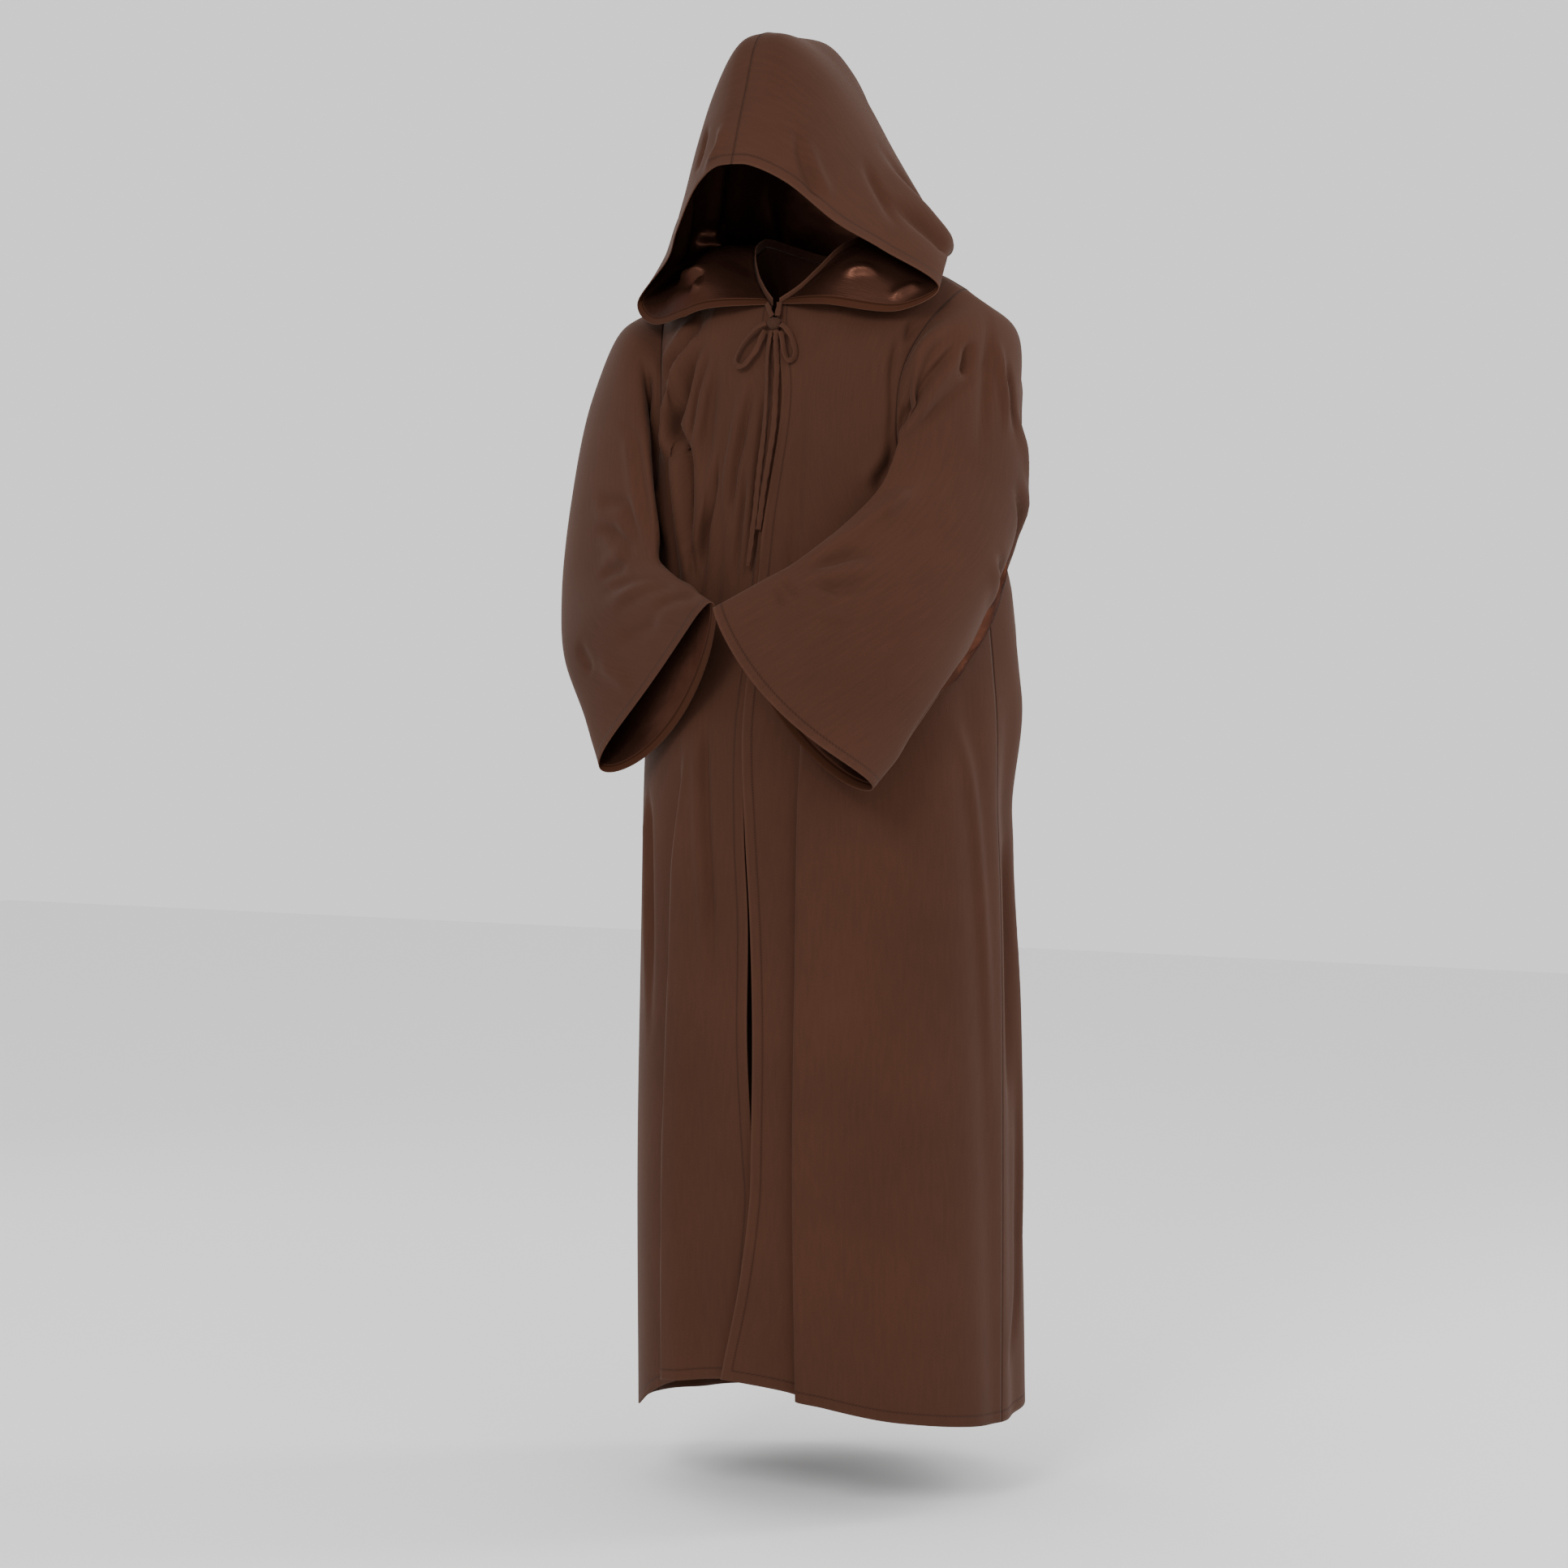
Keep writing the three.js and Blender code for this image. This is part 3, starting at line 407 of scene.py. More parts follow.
# %% [markdown]
# A front runs from its hemmed edge round to the side seam, and from the neckline and shoulder seam
# down to the hem. The back runs from side to side. Rows are closer together at the top and at the
# underarm, where the cloth turns fastest, and at the hem, where the fold of the hem shows.

# %% Grids of the fronts and the back
ARMHOLE_ROWS = 78
SKIRT_ROWS = 164
ROW_CROWDING = 0.55
HEM_CROWDING = 0.1
NECK_COLUMNS = 46
SHOULDER_COLUMNS = 66
BACK_NECK_COLUMNS = 30
FRONT_SHARES = np.concatenate([np.linspace(0, NECK_SHARE, NECK_COLUMNS)[:-1],
                               np.linspace(NECK_SHARE, 1, SHOULDER_COLUMNS)])
# Below its top edge a panel comes out to the plain section over its fall, round as it goes.
FALL_AT_EDGE = 60
FALL_GAIN = 68
ROUNDNESS_AT_NECK = 1.4
ROUNDNESS_GAIN = 0.5
TUCK_BEGINS = -26
TUCK_BLEND = 10


def row_levels(top, hem):
    """Levels of the rows below each top point: to the underarm line, then on to the hem."""
    share = np.linspace(0, 1, ARMHOLE_ROWS + 1)
    eased = share - ROW_CROWDING * np.sin(2 * np.pi * share) / (2 * np.pi)
    upper = top[:, None] + (UNDERARM_LEVEL - top[:, None]) * eased
    lower_share = np.linspace(0, 1, SKIRT_ROWS + 1)[1:]
    lower_share = lower_share + HEM_CROWDING * np.sin(np.pi * lower_share) * lower_share
    lower = UNDERARM_LEVEL + (hem[:, None] - UNDERARM_LEVEL) * lower_share
    return np.concatenate([upper, lower], 1)


def top_points(shares, neck_share, side, turns):
    neck = table_points(NECKLINE, turns(np.minimum(shares / neck_share, 1)))
    seam = table_points(SHOULDER, (shares - neck_share) / (1 - neck_share))
    return np.where((shares <= neck_share)[:, None], neck, seam) * [side, 1, 1]


def panel(shares, neck_share, side, turns, angle_at, hem_angle, tuck_at):
    """One side's panel: its columns at shares of its width, its rows from the top to the hem."""
    top = top_points(shares, neck_share, side, turns)
    level = row_levels(top[:, 2], read_table(HEM, hem_angle, HEM_LEVEL))
    angle = angle_at(shares[:, None], level)
    fall = FALL_AT_EDGE + FALL_GAIN * smooth_step(shares / neck_share)
    roundness = ROUNDNESS_AT_NECK + ROUNDNESS_GAIN * smooth_step((shares - neck_share) * 2)
    return body_points(top[:, None] + np.zeros_like(level)[..., None], angle, level,
                       fall[:, None], roundness[:, None], tuck_at(angle, level))


ARM_ROWS = np.arange(ARMHOLE_ROWS + SKIRT_ROWS + 1) < ARMHOLE_ROWS


def front_points(side):
    def angle_at(share, level):
        outer = np.where(ARM_ROWS, read_table(ARMHOLE, level, FRONT_ENDS), 90)
        edge_x = read_table(EDGES, level, LEFT_EDGE if side > 0 else RIGHT_EDGE)
        part = np.abs(edge_x) / read_table(BODY, level, HALF)
        sine = np.sign(edge_x) * part ** (read_table(BODY, level, SQUARE) / 2)
        start = np.degrees(np.arcsin(sine)) * side
        steer = smooth_step(1 - share / read_table(EDGES, level, STEERED))
        return side * (outer * share + start * steer)

    def tuck_at(angle, level):
        if side > 0:
            return 0
        return read_table(EDGES, level, TUCK) * smooth_step((angle - TUCK_BEGINS) / TUCK_BLEND)

    return panel(FRONT_SHARES, NECK_SHARE, side, lambda turn: turn, angle_at,
                 side * FRONT_SHARES * 90, tuck_at) * MM


def back_points():
    def half(side):
        rest = FRONT_SHARES[FRONT_SHARES >= NECK_SHARE - 1e-9]
        shoulder = BACK_NECK_SHARE + (rest - NECK_SHARE) / (1 - NECK_SHARE) * (1 - BACK_NECK_SHARE)
        shares = np.concatenate([np.linspace(0, BACK_NECK_SHARE, BACK_NECK_COLUMNS)[:-1], shoulder])

        def angle_at(share, level):
            outer = np.where(ARM_ROWS, read_table(ARMHOLE, level, BACK_BEGINS), 90)
            return side * (180 + (outer - 180) * share)

        return panel(shares, BACK_NECK_SHARE, side, lambda turn: 2 - turn, angle_at,
                     side * (180 - 90 * shares), lambda angle, level: 0)

    return np.concatenate([half(1)[::-1], half(-1)[1:]]) * MM


grids = {"front_left": front_points(1), "front_right": front_points(-1), "back": back_points()}
print("front grid", grids["front_left"].shape[:2], "back grid", grids["back"].shape[:2])

# %% [markdown]
# A bell sleeve is one closed tube. It starts on the armhole edge of the front and back, and then
# passes through rings that the bent arm gives it. Four rails carry each ring: the outer side, the
# front, the inner side and the back, so that the cloth can hang nearly flat below the arm.

# %% Grids of the sleeves
LEFT_SLEEVE = [
    ((250, -8, -20), (186, -112, -105), (238, 4, -303), (224, 92, -110)),
    ((262, -18, -100), (182, -140, -175), (244, -22, -340), (232, 78, -190)),
    ((272, -38, -215), (168, -166, -235), (240, -66, -392), (244, 38, -305)),
    ((266, -108, -300), (138, -196, -278), (220, -122, -440), (248, -38, -384)),
    ((220, -196, -372), (98, -228, -318), (172, -178, -468), (236, -116, -468)),
    ((150, -264, -430), (58, -268, -348), (118, -206, -500), (218, -184, -534)),
    ((86, -308, -480), (20, -306, -378), (92, -222, -543), (198, -248, -584))]
RIGHT_SLEEVE = [
    ((-266, -22, -20), (-188, -108, -102), (-242, 6, -301), (-228, 94, -110)),
    ((-306, -44, -108), (-164, -146, -190), (-252, -18, -340), (-266, 80, -190)),
    ((-328, -62, -240), (-150, -160, -262), (-252, -48, -385), (-304, 48, -290)),
    ((-324, -84, -350), (-134, -180, -316), (-244, -92, -430), (-318, -12, -392)),
    ((-280, -132, -420), (-100, -202, -336), (-206, -128, -470), (-302, -68, -470)),
    ((-208, -168, -450), (-60, -224, -352), (-150, -158, -500), (-270, -112, -532)),
    ((-128, -196, -462), (-14, -250, -372), (-112, -170, -520), (-234, -152, -578))]
SLEEVE_ROWS = 150


def sleeve_points(front_edge, back_edge, rows):
    armhole = np.concatenate([front_edge[:ARMHOLE_ROWS + 1], back_edge[1:ARMHOLE_ROWS][::-1]])
    turn = np.arange(len(armhole)) / len(armhole) * 2 * np.pi
    round_part, flat_part = np.cos(2 * turn) / 4, 0.25
    weights = np.stack([flat_part + round_part + np.cos(turn) / 2,
                        flat_part - round_part + np.sin(turn) / 2,
                        flat_part + round_part - np.cos(turn) / 2,
                        flat_part - round_part - np.sin(turn) / 2])
    rings = [np.tensordot(weights.T, np.array(row, float) * MM, 1) for row in rows]
    controls = np.stack([armhole, *rings])
    shares = np.linspace(0, 1, SLEEVE_ROWS)
    return spline(controls, shares).transpose(1, 0, 2)


grids["sleeve_left"] = sleeve_points(grids["front_left"][-1], grids["back"][0], LEFT_SLEEVE)
grids["sleeve_right"] = sleeve_points(grids["front_right"][-1], grids["back"][-1], RIGHT_SLEEVE)
print("sleeve grid", grids["sleeve_left"].shape[:2])

# %% [markdown]
# Half a hood is cut from the face edge to the middle seam. Its ribs rise from the neckline: first
# the lip that turns out over the shoulder, then the fold, and then up the side to the crown. The
# neck band stands up just inside the neckline.

# %% Grids of the hood and the neck band
HOOD = [
    ((78, -140, -5), (168, -112, -14), (206, -82, 14), (146, -116, 60), (108, -164, 90),
     (60, -206, 138), (22, -229, 158), (0, -232, 160)),
    ((102, -102, 52), (168, -82, 17), (198, -52, 38), (162, -72, 88), (120, -116, 142),
     (69, -168, 214), (24, -195, 242), (0, -198, 246)),
    ((116, -42, 80), (164, -28, 54), (184, -10, 64), (164, -24, 104), (118, -68, 178),
     (70, -124, 272), (26, -156, 316), (0, -160, 321)),
    ((110, 22, 78), (142, 28, 54), (160, 32, 70), (146, 22, 110), (104, -12, 196), (58, -60, 290),
     (24, -84, 324), (0, -88, 330)),
    ((72, 80, 58), (94, 92, 40), (106, 96, 62), (96, 86, 110), (70, 52, 200), (46, 2, 290),
     (20, -10, 324), (0, -12, 330)),
    ((0, 98, 50), (0, 110, 42), (0, 116, 64), (0, 110, 110), (0, 92, 200), (0, 52, 278),
     (0, 32, 304), (0, 24, 314))]
RIGHT_HOOD_SPREAD = 1.06
RIGHT_HOOD_DROP = -6
HOOD_RIBS = 130
HOOD_STEPS = 150
HOOD_SEAM_OUT = 2.4
HOOD_SEAM_UP = 3.6
BAND_COLUMNS = 120
BAND_ROWS = 8
BAND_INSIDE = 0.6
BAND_FOOT = 1.4
BAND_TOP = 11
NECKLINE_STEP = 0.02


def neckline_out(turn):
    after = table_points(NECKLINE, np.minimum(turn + NECKLINE_STEP, 2))
    before = table_points(NECKLINE, np.maximum(turn - NECKLINE_STEP, 0))
    along = after - before
    out = np.stack([along[:, 1], -along[:, 0], 0 * turn], -1)
    return out / np.linalg.norm(out, axis=1, keepdims=True)


def hood_points(side):
    rails = np.array(HOOD, float)
    if side < 0:
        rails[:, :, 0] *= RIGHT_HOOD_SPREAD
        rails[:-1, 1:3, 2] += RIGHT_HOOD_DROP
    shares = np.linspace(0, 1, HOOD_RIBS)
    turn = 2 * shares
    neck = table_points(NECKLINE, turn) + neckline_out(turn) * HOOD_SEAM_OUT
    neck[:, 2] += HOOD_SEAM_UP
    lines = [spline(rails[:, rail], shares) for rail in range(rails.shape[1])]
    grid = spline(np.stack([neck, *lines]), np.linspace(0, 1, HOOD_STEPS)).transpose(1, 0, 2)
    grid[..., 0] = np.maximum(grid[..., 0], 0)
    grid[-1, :, 0] = 0
    return grid * [side * MM, MM, MM]


def band_points():
    turn = np.linspace(0, 2, BAND_COLUMNS)
    base = table_points(NECKLINE, turn) - neckline_out(turn) * BAND_INSIDE
    base[-1, 0] = 0
    rise = np.linspace(BAND_FOOT, BAND_TOP, BAND_ROWS)
    half = base[:, None] + np.stack([0 * rise, 0 * rise, rise], -1)
    return np.concatenate([half, half[-2::-1] * [-1, 1, 1]]) * MM


grids["hood_left"], grids["hood_right"], band = hood_points(1), hood_points(-1), band_points()
print("hood grid", grids["hood_left"].shape[:2], "band grid", band.shape[:2])

# %% [markdown]
# Creases are pressed into the grids. One that shows is drawn in pixels across and down the
# picture, and is found on the cloth by looking along the camera's lines of sight. A hidden one is
# drawn by its shares across and down a grid. Each line has the side that the crease's ridge stands
# on, its depth and its width. Side 0 has no ridge, and a depth below zero stands out.

# %% Creases that show: cloth, side, depth and width in millimetres, then pixels
PICTURE_PIXELS = 1932
SEEN_CREASES = [
    ("fronts", 1, 6, 8, ((868, 388), (857, 406), (840, 431), (823, 459), (819, 475))),
    ("fronts", 1, 12, 9, ((880, 390), (868, 420), (854, 437), (845, 464), (837, 500), (834, 525),
                          (837, 545), (844, 564), (847, 600), (848, 664), (847, 692), (845, 717))),
    ("fronts", -1, 4.5, 5, ((879, 414), (870, 445), (859, 481), (854, 509), (850, 537), (849, 560))),
    ("fronts", 1, 4.5, 5, ((850, 664), (853, 690), (857, 720))),
    ("fronts", -1, 4.5, 5, ((829, 464), (822, 489), (818, 525), (818, 556))),
    ("fronts", 1, 6, 6, ((887, 545), (882, 581), (876, 620), (870, 656), (868, 689), (868, 721))),
    ("fronts", 1, 4.5, 5, ((936, 456), (926, 484), (918, 517), (912, 548), (905, 578), (902, 606),
                           (900, 634), (900, 662))),
    ("fronts", -1, 4.5, 5, ((919, 564), (916, 606), (912, 648), (908, 689), (904, 729))),
    ("fronts", -1, 7.5, 5, ((937, 465), (943, 485), (943, 503), (939, 537), (934, 587), (932, 634),
                            (929, 670), (923, 703), (919, 725))),
    ("all", -1, 6, 6, ((800, 451), (800, 481), (802, 537), (804, 581), (808, 620), (814, 662),
                       (818, 690))),
    ("all", 1, 2.8, 7, ((763, 509), (773, 525), (782, 539), (786, 562), (790, 592), (794, 620),
                        (798, 642), (804, 667), (810, 690))),
    ("all", 1, 3.4, 9, ((739, 603), (746, 616), (771, 621), (776, 634), (787, 664), (801, 689))),
    ("all", 1, 3.4, 8, ((734, 650), (757, 655), (773, 670), (784, 690))),
    ("all", -1, 2.5, 8, ((736, 712), (759, 702), (776, 697))),
    ("all", 1, 2.8, 8, ((740, 728), (773, 719), (807, 714), (835, 724))),
    ("all", -1, 2.8, 8, ((754, 755), (782, 737), (809, 727), (840, 728))),
    ("all", 1, 2.5, 7, ((801, 753), (821, 742), (846, 736), (866, 738))),
    ("all", 0, 2.8, 9, ((757, 786), (790, 777), (815, 761))),
    ("all", 0, -2.2, 11, ((734, 811), (758, 832), (782, 852))),
    ("all", 0, 2.5, 10, ((711, 790), (722, 812), (732, 832))),
    ("fronts", 1, 3, 5, ((1110, 402), (1104, 427), (1100, 459), (1101, 495), (1100, 521),
                         (1095, 563))),
    ("all", 1, 4, 7, ((1183, 398), (1166, 418), (1148, 436), (1136, 462), (1122, 492), (1110, 518),
                      (1101, 548))),
    ("all", -1, 6, 6, ((1189, 405), (1172, 433), (1148, 462), (1131, 489), (1116, 515),
                       (1104, 542))),
    ("all", 0, 3, 6, ((1222, 436), (1201, 462), (1183, 477), (1154, 503), (1125, 533), (1104, 556))),
    ("all", 0, 7, 7, ((1195, 418), (1190, 445), (1187, 468))),
    ("fronts", 0, 4, 6, ((1123, 391), (1121, 408), (1120, 427))),
    ("fronts", 0, 4, 6, ((1148, 391), (1128, 406), (1117, 430))),
    ("all", 1, 5, 7, ((1106, 534), (1098, 568), (1085, 590), (1075, 610))),
    ("all", 0, -3, 8, ((1125, 603), (1107, 615), (1092, 629), (1078, 640))),
    ("all", 1, 4, 8, ((985, 703), (1019, 694), (1048, 685), (1090, 677))),
    ("all", -1, 3, 8, ((988, 716), (1033, 725), (1085, 711))),
    ("all", 0, 3, 5, ((962, 712), (974, 724), (989, 739))),
    ("all", 0, -3, 5, ((1001, 718), (1015, 732), (1033, 742))),
    ("all", 0, 3, 5, ((957, 718), (962, 735), (969, 752))),
    ("all", 0, -3, 8, ((994, 746), (1023, 759), (1048, 757))),
    ("all", 0, -4, 6, ((1229, 412), (1233, 453), (1238, 495), (1240, 548))),
    ("all", 0, 4, 6, ((1238, 442), (1245, 471), (1249, 506), (1252, 553))),
    ("fronts", 1, 4, 6, ((869, 880), (869, 937), (874, 1087), (880, 1250))),
    ("all", 0, -4, 12, ((1165, 872), (1186, 923), (1196, 982), (1205, 1080), (1215, 1250),
                        (1222, 1450))),
    ("all", 0, 5, 12, ((1237, 1010), (1238, 1100), (1240, 1240), (1243, 1400))),
    ("all", 1, 3, 11, ((1249, 1260), (1252, 1400), (1252, 1500), (1250, 1619), (1240, 1712))),
    ("all", 1, 4, 8, ((800, 965), (801, 1056), (802, 1300))),
    ("all", 0, -3, 6, ((890, 150), (886, 180), (866, 215))),
    ("all", 0, 3, 6, ((874, 150), (866, 185), (856, 218))),
    ("all", 0, 3, 7, ((980, 147), (987, 190), (1000, 227), (1008, 247))),
    ("all", 0, -3, 8, ((993, 170), (1007, 213), (1027, 250))),
    ("all", 0, 4, 9, ((1060, 190), (1085, 240), (1110, 285))),
    ("all", 1, 6, 9, ((846, 312), (868, 300), (890, 295), (910, 303))),
    ("all", -1, 5, 7, ((838, 346), (855, 336), (872, 328))),
    ("all", 0, 4, 5, ((861, 338), (858, 350), (856, 362))),
    ("all", 0, 3, 7, ((1035, 340), (1060, 330), (1085, 338))),
    ("all", 0, 4, 7, ((1095, 372), (1115, 358), (1140, 350)))]
print("creases that show:", len(SEEN_CREASES))

# %% [markdown]
# The creases on the back and on the far sides follow what the front implies: the sleeves break at
# the bent elbows, the back falls from the shoulders, and the hood drops in folds at each side.

# %% Hidden creases: cloth, side, depth and width in millimetres, then shares across and down
HIDDEN_CREASES = [
    ("sleeve_left", 1, 6, 10, ((0.95, 0.30), (0.85, 0.36), (0.72, 0.38))),
    ("sleeve_left", -1, 7, 10, ((0.98, 0.42), (0.86, 0.46), (0.70, 0.46))),
    ("sleeve_left", 1, 5, 9, ((0.97, 0.55), (0.85, 0.56), (0.72, 0.53))),
    ("sleeve_left", 1, 5, 9, ((0.80, 0.08), (0.74, 0.18), (0.66, 0.30))),
    ("sleeve_left", 0, 5, 11, ((0.68, 0.60), (0.74, 0.75), (0.72, 0.92))),
    ("sleeve_left", 0, 4, 9, ((0.02, 0.10), (0.04, 0.25), (0.05, 0.42))),
    ("sleeve_left", 0, -5, 12, ((0.12, 0.45), (0.16, 0.62), (0.20, 0.80))),
    ("sleeve_right", 1, 6, 10, ((0.94, 0.28), (0.84, 0.33), (0.70, 0.36))),
    ("sleeve_right", -1, 7, 10, ((0.97, 0.40), (0.84, 0.43), (0.68, 0.45))),
    ("sleeve_right", 1, 5, 9, ((0.95, 0.52), (0.83, 0.54), (0.70, 0.52))),
    ("sleeve_right", 1, 5, 9, ((0.82, 0.07), (0.76, 0.17), (0.69, 0.28))),
    ("sleeve_right", 0, 5, 11, ((0.66, 0.62), (0.73, 0.74), (0.71, 0.90))),
    ("sleeve_right", 0, 4, 10, ((0.98, 0.08), (0.99, 0.22), (0.98, 0.38))),
    ("back", 1, 6, 10, ((0.14, 0.30), (0.22, 0.42), (0.31, 0.52))),
    ("back", -1, 6, 10, ((0.86, 0.28), (0.77, 0.40), (0.68, 0.50))),
    ("back", 1, 5, 9, ((0.42, 0.06), (0.40, 0.20), (0.35, 0.40))),
    ("back", -1, 5, 9, ((0.58, 0.05), (0.61, 0.18), (0.64, 0.42))),
    ("back", 0, 5, 10, ((0.20, 0.10), (0.25, 0.22), (0.27, 0.36))),
    ("back", 0, 5, 10, ((0.80, 0.12), (0.76, 0.22), (0.72, 0.34))),
    ("back", 1, 5, 12, ((0.30, 0.47), (0.31, 0.60), (0.33, 0.82))),
    ("back", -1, 6, 12, ((0.70, 0.50), (0.69, 0.70), (0.70, 0.95))),
    ("back", 1, 5, 10, ((0.50, 0.50), (0.49, 0.70), (0.505, 0.92))),
    ("back", 1, 5, 12, ((0.12, 0.52), (0.14, 0.70), (0.13, 0.92))),
    ("back", -1, 6, 12, ((0.88, 0.55), (0.87, 0.75), (0.89, 0.97))),
    ("hood_left", 1, 5, 10, ((0.35, 0.34), (0.30, 0.45), (0.22, 0.60))),
    ("hood_left", -1, 6, 11, ((0.60, 0.32), (0.55, 0.45), (0.45, 0.65))),
    ("hood_left", 1, 5, 10, ((0.85, 0.30), (0.75, 0.42), (0.66, 0.58))),
    ("hood_left", 0, 4, 9, ((0.90, 0.55), (0.80, 0.62), (0.70, 0.75))),
    ("hood_right", 1, 5, 10, ((0.40, 0.34), (0.36, 0.46), (0.30, 0.62))),
    ("hood_right", -1, 6, 11, ((0.65, 0.32), (0.57, 0.48), (0.50, 0.68))),
    ("hood_right", 1, 5, 10, ((0.88, 0.32), (0.80, 0.45), (0.72, 0.60)))]
print("hidden creases:", len(HIDDEN_CREASES))

# %% [markdown]
# Each grid becomes a search tree, and a line of sight goes from the camera through each pixel. The
# first cloth that it meets is the one that shows there.


# %% Places of the creases on the cloth
def is_tube(name):
    return name.startswith("sleeve")


def grid_tree(points, closed):
    columns, rows = points.shape[:2]
    index = np.arange(columns * rows).reshape(columns, rows)
    ring = np.concatenate([index, index[:1]]) if closed else index
    faces = np.stack([ring[:-1, :-1], ring[1:, :-1], ring[1:, 1:], ring[:-1, 1:]], -1).reshape(-1, 4)
    return BVHTree.FromPolygons(points.reshape(-1, 3).tolist(), faces.tolist())


TREES = {name: grid_tree(grid, is_tube(name)) for name, grid in grids.items()}
SIGHT = camera.rotation_euler.to_matrix()
PIXELS_DEEP = camera_data.lens / camera_data.sensor_width * PICTURE_PIXELS


def seen_place(cloth, across, down):
    """The place that shows at a pixel, in metres, or None where another cloth shows there."""
    middle = PICTURE_PIXELS / 2
    sight = (SIGHT @ Vector((across - middle, middle - down, -PIXELS_DEEP))).normalized()
    hits = []
    for name, tree in TREES.items():
        place, _, _, distance = tree.ray_cast(CAMERA_PLACE, sight)
        if place is not None:
            hits.append((distance, name, tuple(place)))
    if not hits or (cloth == "fronts" and not min(hits)[1].startswith("front")):
        return None
    return min(hits)[2]


def hidden_place(cloth, across, down):
    grid = grids[cloth]
    return grid[round(across * (len(grid) - 1)), round(down * (grid.shape[1] - 1))]


CREASES = []
for table, find_place in ((SEEN_CREASES, seen_place), (HIDDEN_CREASES, hidden_place)):
    for cloth, side, depth, width, marks in table:
        found = [find_place(cloth, across, down) for across, down in marks]
        line = np.array([place for place in found if place is not None], float)
        if len(line) > 1:
            CREASES.append((side, depth, width, line))
print("creases placed:", len(CREASES), "of", len(SEEN_CREASES) + len(HIDDEN_CREASES))

# %% [markdown]
# A crease is a trough that follows its smooth line, with a soft ridge at its side. It fades at its
# ends, and at a seam, where the cloth is stiff.

# %% Creases pressed into the grids
SEAM_FADE = 0.018
CREASE_GAIN = 1.7
CREASE_SAMPLES = 60
CREASE_END = 0.35
# A crease is measured across in its own widths.
CREASE_REACH = 4.5
RIDGE_PLACE = 2.1
RIDGE_WIDTH = 1.4
RIDGE_HEIGHT = 0.6
SEAMS = {"front": ["last_column", "first_row"], "back": ["first_column", "last_column", "first_row"],
         "sleeve": ["first_row"], "hood": ["first_row", "last_row", "last_column"]}
OUTWARD_LEFT = ["front_left", "back", "sleeve_right", "hood_right"]


def edge_distance(points, edges):
    """The distance along the cloth from each grid point to the edges that are named, in metres."""
    down = np.cumsum(np.linalg.norm(np.diff(points, axis=1, prepend=points[:, :1]), axis=2), 1)
    across = np.cumsum(np.linalg.norm(np.diff(points, axis=0, prepend=points[:1]), axis=2), 0)
    found = {"first_row": down, "last_row": down[:, -1:] - down,
             "first_column": across, "last_column": across[-1:] - across}
    return np.minimum.reduce([found[name] for name in edges])


def press_creases(points, closed, outward_left, seams):
    """The grid, moved along its own way out wherever a crease lies on it."""
    normals = grid_normals(points, closed, outward_left)
    places, ways_out = points.reshape(-1, 3), normals.reshape(-1, 3)
    offset = np.zeros(len(places))
    for side, depth, width, line in CREASES:
        path = spline(line, np.linspace(0, 1, CREASE_SAMPLES))
        along = np.gradient(path, axis=0)
        along /= np.linalg.norm(along, axis=1, keepdims=True)
        reach = CREASE_REACH * width * MM
        near = np.flatnonzero(((places > path.min(0) - reach) & (places < path.max(0) + reach)).all(1))
        if not len(near):
            continue
        step = places[near][:, None] - path[None]
        closest = (step ** 2).sum(2).argmin(1)
        step = step[np.arange(len(near)), closest]
        run = along[closest]
        step -= run * (step * run).sum(1, keepdims=True)
        away = np.linalg.norm(step, axis=1) / (width * MM)
        signed = away * np.sign((np.cross(step, run) * ways_out[near]).sum(1))
        share = closest / (CREASE_SAMPLES - 1)
        fade = smooth_step(share / CREASE_END) * smooth_step((1 - share) / CREASE_END)
        ridge = np.exp(-(((signed * side - RIDGE_PLACE) / RIDGE_WIDTH) ** 2)) * abs(side)
        section = RIDGE_HEIGHT * ridge - np.exp(-(away ** 2))
        offset[near] += CREASE_GAIN * depth * MM * fade * section
    offset = offset.reshape(points.shape[:2]) * smooth_step(edge_distance(points, seams) / SEAM_FADE)
    return points + normals * offset[..., None]


for name, grid in grids.items():
    seams = SEAMS[name.split("_")[0]]
    grids[name] = press_creases(grid, is_tube(name), name in OUTWARD_LEFT, seams)
    print(name, "moved by up to", round(np.linalg.norm(grids[name] - grid, axis=2).max() / MM, 1), "mm")

# %% [markdown]
# The cloth is a matt dark brown crepe. Its shader is written as sums on wires: each wire is a value
# in the node tree, and Python's + - * / on it add Math nodes. Every other node comes from one
# method that takes the node's type, its settings and the values or links of its sockets. Short
# methods build on it for what the finishes use again and again.


# %% Wires for shader sums
class Wire:
    def __init__(self, cloth, output):
        self.cloth, self.output = cloth, output

    def sum(self, operation, *values):
        return self.cloth.node("ShaderNodeMath", {"operation": operation}, dict(enumerate(values)))

    def __add__(self, other):
        return self.sum("ADD", self, other)

    def __sub__(self, other):
        return self.sum("SUBTRACT", self, other)

    def __rsub__(self, other):
        return self.sum("SUBTRACT", other, self)

    def __mul__(self, other):
        return self.sum("MULTIPLY", self, other)

    def __truediv__(self, other):
        return self.sum("DIVIDE", self, other)

    def __pow__(self, other):
        return self.sum("POWER", self, other)

    __radd__ = __add__

    def band(self, middle, width):
        """1 on a soft band round a value, and 0 away from it."""
        return self.sum("EXPONENT", ((self - middle) / width) ** 2 * -1)

    def wave(self, pitch):
        return self.sum("SINE", self * (2 * math.pi / pitch))


